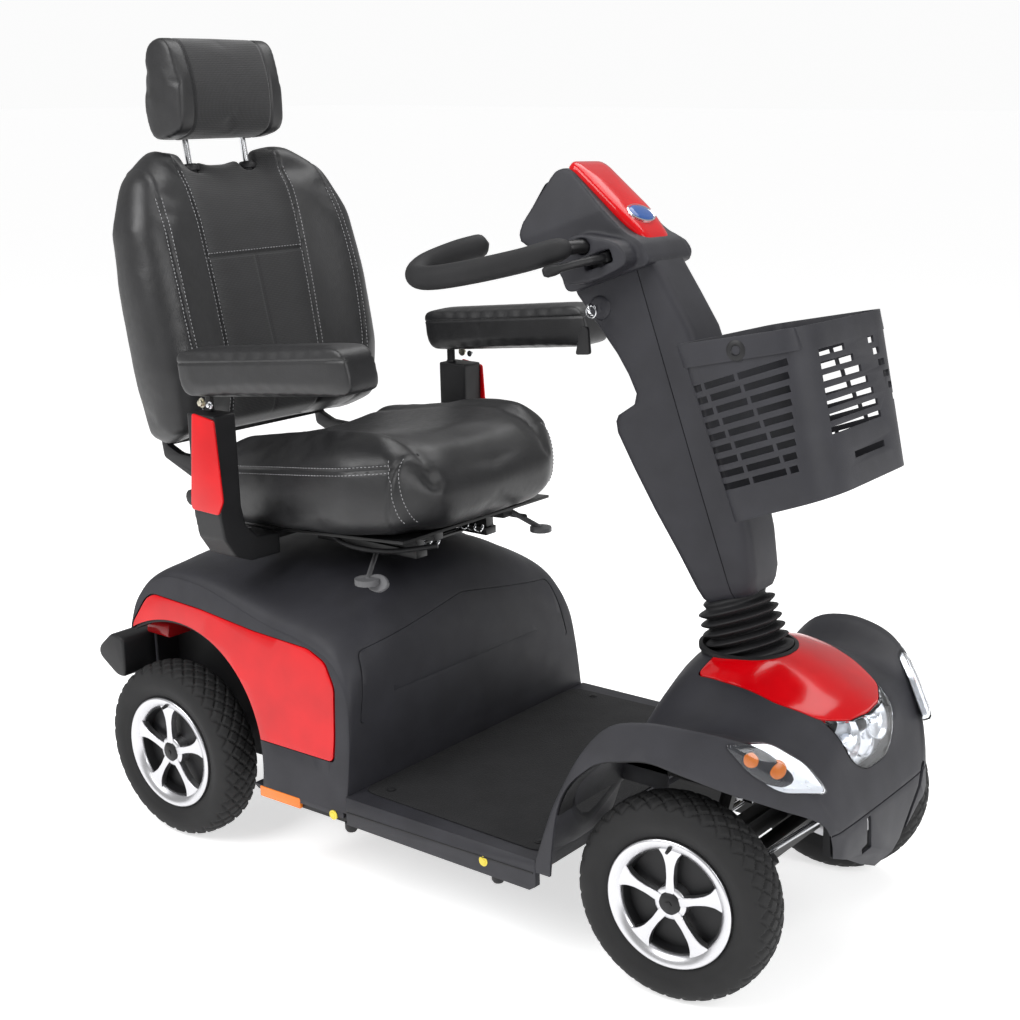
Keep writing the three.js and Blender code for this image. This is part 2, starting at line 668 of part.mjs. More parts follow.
// Steel mast inside the covers, with the hinge eye at its foot.
function mast() {
  const eye = bar([0, -19.5, HINGE_H], [0, 19.5, HINGE_H], 15, 14);
  const post = join(box(-13, 13, -15, 13, HINGE_H, 130), bar([0, 0, 120], [20, 0, 600], 16, 10));
  return join(eye, post, box(0, 38, -15, 15, 560, 606));
}
put("tiller_mast", mast(), M.frame, tiller);

// ---------- tiller head ----------
const HEAD = [
  [60, 592],
  [52, 632],
  [31, 648],
  [-42, 776],
  [-68, 782],
  [-152, 718],
  [-160, 696],
  [-102, 640],
  [-102, 592],
];
const BROW = [[46, 600], [36, 636], [-36, 672], [-84, 650], [-78, 600], [-20, 592]];
const HEAD_HALF = 70;
const BROW_HALF = 108;
const PANEL_HALF = 39;
const DASH_TILT = 40; // dash face, degrees from the column's cross plane
const DASH = new THREE.Vector3(-112, 0, 748.5); // middle of the dash face
const dashOut = new THREE.Vector3(-Math.sin(rad(DASH_TILT)), 0, Math.cos(rad(DASH_TILT)));
const dashUp = new THREE.Vector3(Math.cos(rad(DASH_TILT)), 0, Math.sin(rad(DASH_TILT)));
const onDash = (u, y, out) =>
  DASH.clone().addScaledVector(dashUp, u).addScaledVector(dashOut, out).setY(y).toArray();
const DIAL = [-4, 0]; // on the dash face: up the slope, and across
const HORN = [-14, -40];
const dialBore = () => bar(onDash(...DIAL, -18), onDash(...DIAL, 24), 6.5, 12);
const THUMB_PIN = [2, 94]; // pin of each thumb lever
const THUMB_Z = 621;
const hornBore = () => bar(onDash(...HORN, -12), onDash(...HORN, 20), 8, 12);

// The loop of the left handlebar: out of the brow, round, and back towards the middle.
const LOOP = [
  [-14, 42, 640],
  [-22, 90, 646],
  [-40, 140, 650],
  [-88, 188, 649],
  [-157, 224, 655],
  [-222, 234, 666],
  [-262, 214, 681],
  [-266, 176, 697],
  [-232, 132, 705],
  [-205, 94, 706],
];
const BAR_R = 11;
const LOOP_STEPS = 18;
const loopPath = (s) => LOOP.map(([x, y, z]) => [x, s * y, z]);
const loopTube = (s, r) => sweep(loopPath(s), r, LOOP_STEPS, 8);

function tillerHead() {
  const body = alongY(outline(HEAD, 14), -HEAD_HALF, HEAD_HALF);
  const brow = alongY(outline(BROW, 20), -BROW_HALF, BROW_HALF);
  const bevel = mirrored((s) => {
    const wedge = [[PANEL_HALF + 4, 820], [HEAD_HALF + 30, 820], [HEAD_HALF + 30, 686], [HEAD_HALF + 1, 690]];
    return alongX(outline(wedge.map(([y, z]) => [s * y, z])), -220, 80);
  });
  const sockets = mirrored((s) => loopTube(s, BAR_R + 1.5));
  const [pinX, pinY] = THUMB_PIN;
  const thumbs = mirrored((s) => {
    const slot = sideBox(s, -34, 18, pinY - 14, BROW_HALF + 2, THUMB_Z - 10, THUMB_Z + 10);
    return join(slot, bar([pinX, s * pinY, THUMB_Z - 20], [pinX, s * pinY, THUMB_Z], 6, 10));
  });
  const mastSocket = box(-8, 42, -18, 18, 560, 606 + GAP);
  const bores = [mastSocket, keyBore(), dialBore(), hornBore()];
  return cut(join(body, brow), ...bevel, ...sockets, ...thumbs, ...bores);
}
put("tiller_head", tillerHead(), M.charcoal, tiller);

// Red cap along the head's front slope.
function headPanel() {
  const low = new THREE.Vector2(31, 648);
  const high = new THREE.Vector2(-42, 776);
  const out = new THREE.Vector2(high.y - low.y, low.x - high.x).normalize();
  const at = (t, d) => low.clone().lerp(high, t).addScaledVector(out, d).toArray();
  const slab = [at(-0.04, 0), at(-0.04, 5), at(0.1, 9), at(0.9, 11), at(1.03, 9), [-60, 792], [-64, 780]];
  const headGrown = alongY(outline(HEAD.map(([x, z]) => [x + GAP, z + GAP]), 14), -HEAD_HALF, HEAD_HALF);
  return cut(alongY(outline(slab, 3), -PANEL_HALF, PANEL_HALF), headGrown);
}
put("head_panel", headPanel(), M.red, tiller);

// A control on the dash: a knob on a stem that enters its bore.
function dashControl(at, knobR, topR, height, stemR, depth) {
  const knob = bar(onDash(...at, 1), onDash(...at, height), knobR, 16, topR);
  return join(knob, bar(onDash(...at, -depth), onDash(...at, 2), stemR, 10));
}
put("speed_dial", dashControl(DIAL, 17, 15, 13, 5.5, 14), M.black, tiller);
put("horn_button", dashControl(HORN, 7.4, 7.4, 6, 5, 6), M.black, tiller);

// Key in the side of the column.
function key() {
  const [x, z] = KEY_AT;
  const barrel = bar([x, 8 - COLUMN_HALF, z], [x, -COLUMN_HALF - 5, z], 8, 12);
  const blade = box(x - 1.5, x + 1.5, -74, -COLUMN_HALF - 4, z - 5, z + 5);
  const bow = bar([x - 2, -81, z], [x + 2, -81, z], 10, 12);
  return join(barrel, blade, bow);
}
put("ignition_key", key(), M.steel, tiller);

SIDES.forEach(([side, s]) => {
  put("handlebar_" + side, loopTube(s, BAR_R), M.frame, tiller);
  const [beforeEnd, end] = loopPath(s).slice(-2);
  const pastEnd = end.map((v, i) => v + (v - beforeEnd[i]) * 0.3);
  const openEnd = bar(beforeEnd, pastEnd, BAR_R + 1, 8);
  const grip = sweep(loopPath(s).slice(3), 19, 10, 8);
  put("grip_" + side, cut(grip, loopTube(s, BAR_R + 1), openEnd), M.rubber, tiller);
});

// Thumb levers, each on an upright pin in a slot of the brow.
SIDES.forEach(([side, s]) => {
  const [x, y] = THUMB_PIN;
  const pin = bar([x, s * y, THUMB_Z - 17], [x, s * y, THUMB_Z + 8], 5.4, 10);
  const boss = bar([x, s * y, THUMB_Z - 8], [x, s * y, THUMB_Z + 8], 9, 10);
  const line = [[x, y], [-8, 128], [-30, 158], [-50, 178]];
  const paddle = sweep(line.map(([u, v]) => [u, s * v, THUMB_Z]), 7, 6, 6);
  put("throttle_lever_" + side, join(pin, boss, paddle), M.black, tiller);
});

// Tilt release lever: its pin spans the rear shell, and its tip comes out through a slot.
function tiltLever() {
  const end = COLUMN_HALF - SKIN - GAP;
  const pin = bar([-62, -end, TILT_Z], [-62, end, TILT_Z], 5, 8);
  const arm = [[-62, 0, TILT_Z], [-84, 0, TILT_Z - 3], [-104, 0, TILT_Z - 8], [-112, 0, TILT_Z - 9]];
  return join(pin, sweep(arm, 6, 4, 6));
}
put("tilt_lever", tiltLever(), M.black, tiller);

// ---------- basket ----------
// A level ring of the tub at height z, rising by drop towards the column.
function tubRing(z, x0, x1, half, drop, inset) {
  const corners = [
    [x0 + inset, half - 14],
    [x0 + 16, half - inset],
    [x1 - 46, half - inset],
    [x1 - 14, half - 14],
    [x1 - inset, half - 52],
  ];
  const lift = (x) => z + drop * ((x1 - x) / (x1 - x0));
  const left = corners.map(([x, y]) => [x, y, lift(x)]);
  return [...left, ...corners.map(([x, y]) => [x, -y, lift(x)]).reverse()];
}

const TUB_LOW = { z: 188, x0: 118, x1: 290, half: 170, drop: 0 };
const TUB_HIGH = { z: 430, x0: 114, x1: 318, half: 176, drop: 30 };
function tub(inset) {
  const raised = inset > 0 ? 12 : 0;
  const low = tubRing(TUB_LOW.z + inset, TUB_LOW.x0, TUB_LOW.x1, TUB_LOW.half, TUB_LOW.drop, inset);
  const high = tubRing(TUB_HIGH.z + raised, TUB_HIGH.x0, TUB_HIGH.x1, TUB_HIGH.half, TUB_HIGH.drop, inset);
  return loft([low, high], 2);
}

const SLOT_ROWS = 6;
function basket() {
  const slots = [];
  for (let row = 0; row < SLOT_ROWS; row++) {
    const z = 244 + row * 28;
    slots.push(box(140, 238 - row * 5, -300, 300, z, z + 12));
    slots.push(box(200, 400, -104 + row * 8, 60 + row * 6, z, z + 12));
  }
  const hook = box(90, 120, -40, 40, 290, 400);
  return join(cut(tub(0), tub(4), ...slots), hook);
}
put("basket", basket(), M.charcoal, tiller);

// ---------- seat ----------
// The seat's own frame: its origin is on the swivel axis at the pan, tilted up at the front.
const PAN_Z = 580;
const seat = new THREE.Group();
seat.position.set(POST_X, 0, PAN_Z);
seat.rotation.y = rad(-SEAT_TILT);
scooter.add(seat);

const postTop = bar([POST_X, 0, 534], [POST_X, 0, 539], 60, 16);
put("seat_post", join(bar([POST_X, 0, 200], [POST_X, 0, 534], 25, 16), postTop), M.steel);

// Swivel plate with the seat's two slides.
const SLIDE_Y = 95;
const SLIDE_TOP = 561;
function swivelBase() {
  const plate = box(POST_X - 90, POST_X + 95, -80, 80, 546, 551);
  const hub = bar([POST_X, 0, 539 + GAP], [POST_X, 0, 548], 48, 16);
  const slides = mirrored((s) =>
    sideBox(s, POST_X - 90, POST_X + 150, SLIDE_Y - 14, SLIDE_Y + 14, 547, SLIDE_TOP),
  );
  const ties = [-75, 80].map((x) => box(POST_X + x - 12, POST_X + x + 12, -100, 100, 547, 553));
  return join(plate, hub, ...slides, ...ties);
}
put("swivel_base", swivelBase(), M.frame);

// Seat pan with runners, recline brackets and the cross tube that carries the armrests.
const CROSS_X = -118; // armrest cross tube, in the seat's frame
const FOOT_Y = 213; // inner end of the armrest feet
function seatFrame() {
  const pan = box(-205, 205, -200, 200, 8, 13);
  const wedge = outline([[-88, -11.8], [146, -28.2], [146, -2], [-88, -2]]);
  const runners = mirrored((s) => {
    const channel = sideBox(s, -190, 190, SLIDE_Y - 12, SLIDE_Y + 12, -8, 10);
    return join(channel, sideRun(s, wedge, SLIDE_Y - 10, SLIDE_Y + 10));
  });
  const crossTube = box(CROSS_X - 14, CROSS_X + 14, -FOOT_Y + GAP, FOOT_Y - GAP, -8.5, 9);
  const ear = [
    [-292, 40],
    [-302, 84],
    [-280, 96],
    [-262, 84],
    [-236, 30],
    [-206, 12],
    [-120, 12],
    [-120, -4],
    [-220, -4],
  ];
  const ears = mirrored((s) =>
    join(sideRun(s, outline(ear, 12), 205, 211), sideBox(s, -205, -150, 190, 211, 6, 12)),
  );
  return join(pan, ...runners, crossTube, ...ears);
}
put("seat_frame", seatFrame(), M.frame, seat);

// Cushion: a bevelled slab with deep rounded front corners, its top lower at the back.
const CUSHION_PLAN = [[-222, 238], [130, 250], [212, 220], [260, 142]];
function seatCushion() {
  const ring = (inset, z) => {
    const sink = Math.max(0, z - 90) * 0.2;
    const left = CUSHION_PLAN.map(([x, y]) =>
      x > 0 ? [x - inset, y - inset, z] : [x + inset, y - inset, z - sink],
    );
    return [...left, ...left.map(([x, y, h]) => [x, -y, h]).reverse()];
  };
  return loft([ring(26, 16), ring(4, 42), ring(0, 90), ring(6, 140), ring(34, 172), ring(90, 179)], 2);
}
put("seat_cushion", seatCushion(), M.leather, seat);

// ---------- backrest, in its own frame on the recline hinge ----------
const back = new THREE.Group();
back.position.set(RECLINE_X, 0, RECLINE_Z);
back.rotation.y = rad(-BACK_LEAN);
scooter.add(back);

const ROD_X = -51; // headrest rods
const ROD_Y = 69;
const SHELL = [-104, -92]; // rear panel of the backrest, from back to front
function backFrame() {
  const [rear, front] = SHELL;
  const shell = alongY(outline([[front, 60], [rear, 66], [rear, 520], [front, 540]]), -190, 190);
  const elbow = [[-14, -14], [14, -14], [16, 16], [-10, 34], [-62, 44]];
  const riser = [[front, 62], [front, 190], [rear, 190], [rear, 40]];
  const arms = mirrored((s) => sideRun(s, outline([...elbow, ...riser], 6), 188, 202));
  const sleeves = mirrored((s) => {
    const sleeve = bar([ROD_X, s * ROD_Y, 420], [ROD_X, s * ROD_Y, 548], 12, 12);
    return join(sleeve, sideBox(s, rear, ROD_X, ROD_Y - 8, ROD_Y + 8, 430, 500));
  });
  const bores = mirrored((s) => bar([ROD_X, s * ROD_Y, 400], [ROD_X, s * ROD_Y, 600], 6.5, 10));
  const hingeHoles = mirrored((s) => bar([0, s * 180, 0], [0, s * 215, 0], 6, 10));
  return cut(join(shell, ...arms, ...sleeves), ...bores, ...hingeHoles);
}
put("backrest_frame", backFrame(), M.black, back);

// Stations of the backrest cushion: height, half-width, rear x, front x at the wings.
const BACK_CUSHION = [
  [62, 232, -84, -36],
  [84, 260, -91.6, 24],
  [192, 270, -91.6, 38],
  [330, 270, -91.6, 34],
  [452, 260, -91.6, 26],
  [536, 226, -88, 8],
  [588, 164, -74, -20],
];
function backCushion() {
  const ring = ([z, half, rear, front]) => {
    const edge = [
      [rear, half - 40],
      [rear + 12, half - 8],
      [front - 30, half],
      [front - 8, half - 16],
      [front, half - 50],
      [front - 30, 100],
    ];
    const left = edge.map(([x, y]) => [x, y, z]);
    return [...left, ...left.map(([x, y]) => [x, -y, z]).reverse()];
  };
  const pockets = mirrored((s) => sideBox(s, -100, ROD_X + 14, ROD_Y - 14, ROD_Y + 14, 412, 610));
  return cut(loft(BACK_CUSHION.map(ring), 2), ...pockets);
}
put("backrest_cushion", backCushion(), M.leather, back);

// Two rods joined inside the pad.
function headrestRods() {
  const rods = mirrored((s) => bar([ROD_X, s * ROD_Y, 432], [ROD_X, s * ROD_Y, 650], 5.8, 10));
  return join(...rods, box(ROD_X - 5, ROD_X + 5, -ROD_Y - 4, ROD_Y + 4, 640, 650));
}
put("headrest_rods", headrestRods(), M.steel, back);

const HEADREST = [
  [-78, 612],
  [-84, 664],
  [-54, 766],
  [-20, 781],
  [12, 769],
  [24, 684],
  [10, 610],
  [-54, 602],
];
function headrestPad() {
  const pad = alongY(outline(HEADREST, 24), -126, 126);
  const bores = mirrored((s) => bar([ROD_X, s * ROD_Y, 500], [ROD_X, s * ROD_Y, 652], 6.4, 10));
  return cut(pad, ...bores, box(ROD_X - 6, ROD_X + 6, -ROD_Y - 6, ROD_Y + 6, 580, 651));
}
put("headrest_pad", headrestPad(), M.leather, back);

// ---------- armrests ----------
// Post: the outline of its bend, seen from the front on the left side, run along X.
const POST_BEND = [
  [345, 811],
  [345, 640],
  [338, 596],
  [316, 562],
  [280, 547],
  [FOOT_Y, 546],
  [FOOT_Y, 584],
  [262, 588],
  [288, 612],
  [296, 650],
  [296, 811],
];
const POST_FROM = -412;
const POST_TO = -346;
SIDES.forEach(([side, s]) => {
  const bend = outline(POST_BEND.map(([y, z]) => [s * y, z]));
  const ear = box(ARM_PIVOT_X - 9, ARM_PIVOT_X + 9, s * ARM_Y - 4, s * ARM_Y + 4, 805, ARM_PIVOT_Z + 9);
  put("armrest_post_" + side, join(alongX(bend, POST_FROM, POST_TO), ear), M.black);

  const pad = new THREE.Group();
  pad.position.set(ARM_PIVOT_X, s * ARM_Y, ARM_PIVOT_Z);
  pad.rotation.y = rad(-ARM_TILT);
  const face = [[-20, 2], [-32, 20], [-34, 70], [-24, 78], [346, 78], [362, 60], [368, 14], [356, 2]];
  const earSlot = box(-60, 22, -6, 6, -10, 16);
  put("armrest_pad_" + side, cut(alongY(outline(face, 16), -35, 35), earSlot), M.leather, pad);
  scooter.add(pad);
});

// ---------- levers under the seat ----------
function swivelLever() {
  const from = [POST_X + 40, -92, 540.5];
  const to = [POST_X + 150, -232, 540.5];
  return join(bar(from, to, 4.6, 8), bar([to[0], to[1], 533], [to[0], to[1], 543], 22, 14));
}
put("swivel_lever", swivelLever(), M.silver);

function slideLever() {
  const pin = bar([-100, 109, 592], [-100, 124, 592], 5, 8);
  const arm = bar([-100, 118, 592], [-24, 120, 568], 5, 8);
  return join(pin, arm, bar([-24, 120, 562], [-24, 120, 570], 20, 12));
}
put("slide_lever", slideLever(), M.silver);

function reclineLever() {
  const pin = bar([-524, -214, 660], [-524, -246, 660], 7, 8);
  const arm = bar([-524, -240, 660], [-515, -240, 636], 5, 8);
  return join(pin, arm, bar([-515, -236, 632], [-515, -262, 632], 15, 12));
}
put("recline_lever", reclineLever(), M.black);

export default scooter;
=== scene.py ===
"""Mobility scooter: its looks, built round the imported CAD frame.

Blender works in metres. The shape tables are in millimetres, in the CAD frame or in one of the
frames below, and `solid` turns them into metres.
"""

import json
import math

import bmesh
import bpy
from mathutils import Matrix, Vector
from mathutils.bvhtree import BVHTree


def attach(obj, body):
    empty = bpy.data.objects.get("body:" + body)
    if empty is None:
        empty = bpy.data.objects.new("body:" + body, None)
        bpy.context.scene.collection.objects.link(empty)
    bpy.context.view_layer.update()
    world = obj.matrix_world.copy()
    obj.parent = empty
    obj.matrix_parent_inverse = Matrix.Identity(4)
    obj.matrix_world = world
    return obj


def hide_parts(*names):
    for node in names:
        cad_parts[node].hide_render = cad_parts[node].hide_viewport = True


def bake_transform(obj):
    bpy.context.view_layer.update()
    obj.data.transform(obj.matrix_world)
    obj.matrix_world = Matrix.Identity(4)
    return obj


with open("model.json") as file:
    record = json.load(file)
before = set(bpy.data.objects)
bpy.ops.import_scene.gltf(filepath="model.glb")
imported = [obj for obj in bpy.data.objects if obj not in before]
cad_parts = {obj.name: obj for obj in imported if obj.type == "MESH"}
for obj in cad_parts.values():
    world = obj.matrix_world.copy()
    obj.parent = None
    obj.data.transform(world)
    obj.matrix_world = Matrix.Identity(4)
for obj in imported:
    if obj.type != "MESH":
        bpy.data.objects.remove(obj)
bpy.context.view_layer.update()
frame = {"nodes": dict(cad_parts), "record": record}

MM = 0.001
SHARP = 40  # degrees, above which an edge is sharp
SIDES = (("right", -1), ("left", 1))
STEERED = 5.3  # how far the steering is turned at rest, in degrees
SEAT_POST_X = -270
STEM_X = 488
REAR_AXLE = (-533, 165)
REAR_HALF_TRACK = 307
KINGPIN = (526, 196, 165)
SPINDLE = 69
RAIL_Y = 115
BEYOND = 420  # clear of the body on either side


# ---------- frames ----------
def place(x, y, z, lean=0.0, turn=0.0):
    """A frame at a point, leaned about Y and then turned about its own Z, in degrees."""
    leaned = Matrix.Rotation(math.radians(lean), 4, "Y")
    return Matrix.Translation((x, y, z)) @ leaned @ Matrix.Rotation(math.radians(turn), 4, "Z")


WORLD = Matrix()
TILLER = place(480, 0, 500, -20, STEERED)
SEAT = place(SEAT_POST_X, 0, 580, -4)
BACK = place(-545, 0, 655, -9)
OUT = {-1: Matrix.Rotation(math.radians(90), 4, "X"), 1: Matrix.Rotation(math.radians(-90), 4, "X")}


def aimed(point, direction):
    """A frame at a point whose Z looks along a direction."""
    turn = Vector(direction).to_track_quat("Z", "Y").to_matrix().to_4x4()
    return Matrix.Translation(point) @ turn


# ---------- lines and outlines ----------
def between(p, q, r, s, t):
    """A Catmull-Rom value at share t of the way from q to r."""
    square = (2 * p - 5 * q + 4 * r - s) * t * t
    cube = (3 * q - p - 3 * r + s) * t**3
    return 0.5 * (2 * q + (r - p) * t + square + cube)


def through(points, per):
    """A smooth line through the points, with per steps between neighbours."""
    last = len(points) - 1
    line = []
    for i in range(last):
        a, b, c, d = (points[min(max(k, 0), last)] for k in range(i - 1, i + 3))
        for step in range(per):
            t = step / per
            line.append([between(p, q, r, s, t) for p, q, r, s in zip(a, b, c, d)])
    return line + [list(points[-1])]


def rounded(points, r, steps=5):
    """A closed outline with its corners rounded by r."""
    line = []
    for i, point in enumerate(points):
        here = Vector(point)
        to_before = Vector(points[i - 1]) - here
        to_after = Vector(points[(i + 1) % len(points)]) - here
        a = here + to_before.normalized() * min(r, to_before.length * 0.45)
        b = here + to_after.normalized() * min(r, to_after.length * 0.45)
        for step in range(steps + 1):
            t = step / steps
            line.append(tuple((1 - t) ** 2 * a + 2 * t * (1 - t) * here + t * t * b))
    return line


def scaled(points, scale, middle):
    """An outline scaled about a point."""
    return [[m + (p - m) * scale for p, m in zip(point, middle)] for point in points]


def mirrored(half, middle=()):
    """An outline from its half, what lies on the middle line, and the half's mirror image."""
    return [*half, *middle, *[(-y, z) for y, z in reversed(half)]]


def turns(count):
    """The angles of count equal steps round a circle."""
    return [2 * math.pi * i / count for i in range(count)]


# ---------- solids ----------
def linked(name, data):
    """A new object in the scene, holding the data."""
    made = bpy.data.objects.new(name, data)
    bpy.context.scene.collection.objects.link(made)
    return made


def solid(name, verts, faces, at=WORLD):
    """A mesh object from points in millimetres in a frame, its faces turned outwards."""
    mesh = bpy.data.meshes.new(name)
    mesh.from_pydata([MM * (at @ Vector(v)) for v in verts], [], faces)
    form = bmesh.new()
    form.from_mesh(mesh)
    bmesh.ops.remove_doubles(form, verts=form.verts, dist=1e-6)
    bmesh.ops.recalc_face_normals(form, faces=form.faces)
    form.to_mesh(mesh)
    form.free()
    return linked(name, mesh)


def loft(name, rings, at=WORLD, capped=True, looped=False):
    """A skin through closed rings of equal length."""
    n = len(rings[0])
    faces = []
    for row in range(len(rings) if looped else len(rings) - 1):
        a = row * n
        b = ((row + 1) % len(rings)) * n
        for i in range(n):
            j = (i + 1) % n
            faces.append((a + i, a + j, b + j, b + i))
    if capped:
        faces.append(tuple(range(n)))
        faces.append(tuple(range(len(rings) * n - n, len(rings) * n)))
    return solid(name, [v for ring in rings for v in ring], faces, at)


AXES = {
    "X": lambda u, v, h: (h, u, v),
    "Y": lambda u, v, h: (u, h, v),
    "Z": lambda u, v, h: (u, v, h),
}


def run(name, outline, low, high, axis, at=WORLD):
    """An outline run along an axis from low to high."""
    return loft(name, [[AXES[axis](u, v, h) for u, v in outline] for h in (low, high)], at)


def side_run(name, outline, s, near, far):
    """An outline in XZ run outwards along Y on one side of the centre line."""
    return run(name, outline, min(s * near, s * far), max(s * near, s * far), "Y")


def box(name, low, high, at=WORLD):
    """A box between two corners of a frame."""
    corners = [(low[0], low[1]), (high[0], low[1]), (high[0], high[1]), (low[0], high[1])]
    return run(name, corners, low[2], high[2], "Z", at)


def tube(name, line, r, sides=14, at=WORLD, looped=False):
    """A round section carried along a line; r is one radius, or one for each point."""
    points = [Vector(p) for p in line]
    last = len(points) - 1
    radii = r if isinstance(r, list) else [r] * len(points)
    up = None
    rings = []
    for i, point in enumerate(points):
        ahead = points[(i + 1) % len(points)] if looped or i < last else point
        behind = points[i - 1] if looped or i > 0 else point
        along = (ahead - behind).normalized()
        up = along.orthogonal() if up is None else up - along * up.dot(along)
        up.normalize()
        across = along.cross(up)
        rings.append([point + radii[i] * (math.cos(a) * up + math.sin(a) * across) for a in turns(sides)])
    return loft(name, rings, at, not looped, looped)


def round_ended(count, r, ends=3):
    """Radii along a tube of count points whose two ends close in."""
    radii = []
    for i in range(count):
        share = (ends - min(i, count - 1 - i, ends)) / ends
        radii.append(r * min(1, math.sqrt(max(0.02, 1 - share**2))))
    return radii


def lathe(name, profile, sides, at=WORLD):
    """A closed profile of [radius, height] points turned about Z of a frame."""
    rings = [[(r * math.cos(a), r * math.sin(a), h) for r, h in profile] for a in turns(sides)]
    return loft(name, rings, at, capped=False, looped=True)


def settle(obj):
    """Applies every modifier."""
    graph = bpy.context.evaluated_depsgraph_get()
    obj.data = bpy.data.meshes.new_from_object(obj.evaluated_get(graph))
    obj.modifiers.clear()
    return obj


def carve(obj, tools, operation="DIFFERENCE"):
    """Cuts an object with the tools in turn, or keeps what it shares with them."""
    for tool in tools:
        step = obj.modifiers.new("carve", "BOOLEAN")
        step.operation = operation
        step.solver = "EXACT"
        step.object = tool
    settle(obj)
    for tool in tools:
        bpy.data.objects.remove(tool)
    return obj


def soften(obj, width, segments=2):
    """Rounds the sharp edges."""
    step = obj.modifiers.new("soften", "BEVEL")
    step.width = width * MM
    step.segments = segments
    step.limit_method = "ANGLE"
    step.angle_limit = math.radians(SHARP)
    return settle(obj)


def merge(name, objects):
    """One object from several, keeping their materials."""
    form = bmesh.new()
    materials = []
    for obj in objects:
        shift = len(materials)
        start = len(form.faces)
        form.from_mesh(obj.data)
        form.faces.ensure_lookup_table()
        for face in form.faces[start:]:
            face.material_index += shift
        materials += list(obj.data.materials)
        bpy.data.objects.remove(obj)
    mesh = bpy.data.meshes.new(name)
    form.to_mesh(mesh)
    form.free()
    for material in materials:
        mesh.materials.append(material)
    return linked(name, mesh)


def copied(name, node):
    """A copy of a CAD node's mesh, welded."""
    mesh = frame["nodes"][node].data.copy()
    mesh.materials.clear()
    form = bmesh.new()
    form.from_mesh(mesh)
    bmesh.ops.remove_doubles(form, verts=form.verts, dist=1e-5)
    form.to_mesh(mesh)
    form.free()
    return linked(name, mesh)


def remoulded(obj, voxel, rounds):
    """Rebuilds a mesh in voxels and rounds its edges, as a moulding's are."""
    voxels = obj.modifiers.new("voxels", "REMESH")
    voxels.mode = "VOXEL"
    voxels.voxel_size = voxel * MM
    ease = obj.modifiers.new("ease", "SMOOTH")
    ease.factor = 0.5
    ease.iterations = rounds
    return settle(obj)


def smooth(obj, sharp=SHARP):
    """Shades an object smooth, except at edges over the angle."""
    obj.data.shade_smooth()
    obj.data.set_sharp_from_angle(angle=math.radians(sharp))


def part(obj, body, material=None, nodes=(), sharp=SHARP):
    """Finishes a piece: its material, its body and the CAD nodes it stands for."""
    if material is not None:
        obj.data.materials.clear()
        obj.data.materials.append(material)
    smooth(obj, sharp)
    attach(obj, body)
    if nodes:
        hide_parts(*nodes)
    return obj


# ---------- materials ----------
def new_material(name, color, roughness, metallic=0.0, **settings):
    material = bpy.data.materials.new(name)
    material.use_nodes = True
    shader = material.node_tree.nodes["Principled BSDF"]
    shader.inputs["Base Color"].default_value = (*color, 1)
    shader.inputs["Roughness"].default_value = roughness
    shader.inputs["Metallic"].default_value = metallic
    for key, value in settings.items():
        shader.inputs[key.replace("_", " ")].default_value = value
    return material


def node(material, kind, **values):
    """A new shader node; each value is an input of it or else a setting."""
    made = material.node_tree.nodes.new(kind)
    for key, value in values.items():
        if key in made.inputs:
            made.inputs[key].default_value = value
        else:
            setattr(made, key, value)
    return made


def noise(material, size, detail=3.0, stretch=(1, 1, 1)):
    """A noise whose features are about size millimetres across."""
    links = material.node_tree.links
    where = node(material, "ShaderNodeTexCoord")
    mapping = node(material, "ShaderNodeMapping", Scale=stretch)
    texture = node(material, "ShaderNodeTexNoise", Scale=1000 / size, Detail=detail)
    links.new(where.outputs["Object"], mapping.inputs["Vector"])
    links.new(mapping.outputs["Vector"], texture.inputs["Vector"])
    return texture.outputs["Fac"]


def cells(material, size):
    """A cell pattern, for leather grain or moulded texture."""
    links = material.node_tree.links
    where = node(material, "ShaderNodeTexCoord")
    texture = node(material, "ShaderNodeTexVoronoi", Scale=1000 / size)
    links.new(where.outputs["Object"], texture.inputs["Vector"])
    return texture.outputs["Distance"]


def weave(material, size):
    """Crossed ribs of a woven cloth, along two slanted directions."""
    links = material.node_tree.links
    where = node(material, "ShaderNodeTexCoord")
    ribs = []
    for direction in ("Y", "Z"):
        wave = node(material, "ShaderNodeTexWave", Scale=1000 / size / 6.28)
        wave.bands_direction = direction
        links.new(where.outputs["Object"], wave.inputs["Vector"])
        ribs.append(wave.outputs["Fac"])
    both = node(material, "ShaderNodeMath", operation="MULTIPLY")
    links.new(ribs[0], both.inputs[0])
    links.new(ribs[1], both.inputs[1])
    return both.outputs[0]


def bump(material, source, depth, strength=1.0):
    """Adds a bump of depth millimetres on top of what the shader's normal has."""
    links = material.node_tree.links
    shader = material.node_tree.nodes["Principled BSDF"]
    made = node(material, "ShaderNodeBump", Strength=strength, Distance=depth * MM)
    links.new(source, made.inputs["Height"])
    for link in list(shader.inputs["Normal"].links):
        links.new(link.from_socket, made.inputs["Normal"])
    links.new(made.outputs["Normal"], shader.inputs["Normal"])


def vary(material, source, socket, low, high):
    """Drives a shader socket from a pattern, between two values or two colours."""
    links = material.node_tree.links
    shader = material.node_tree.nodes["Principled BSDF"]
    if socket == "Base Color":
        ramp = node(material, "ShaderNodeValToRGB")
        ramp.color_ramp.elements[0].position = 0.35
        ramp.color_ramp.elements[1].position = 0.65
        ramp.color_ramp.elements[0].color = (*low, 1)
        ramp.color_ramp.elements[1].color = (*high, 1)
        links.new(source, ramp.inputs["Fac"])
        links.new(ramp.outputs["Color"], shader.inputs[socket])
        return
    span = node(material, "ShaderNodeMapRange")
    span.inputs["To Min"].default_value = low
    span.inputs["To Max"].default_value = high
    links.new(source, span.inputs["Value"])
    links.new(span.outputs["Result"], shader.inputs[socket])


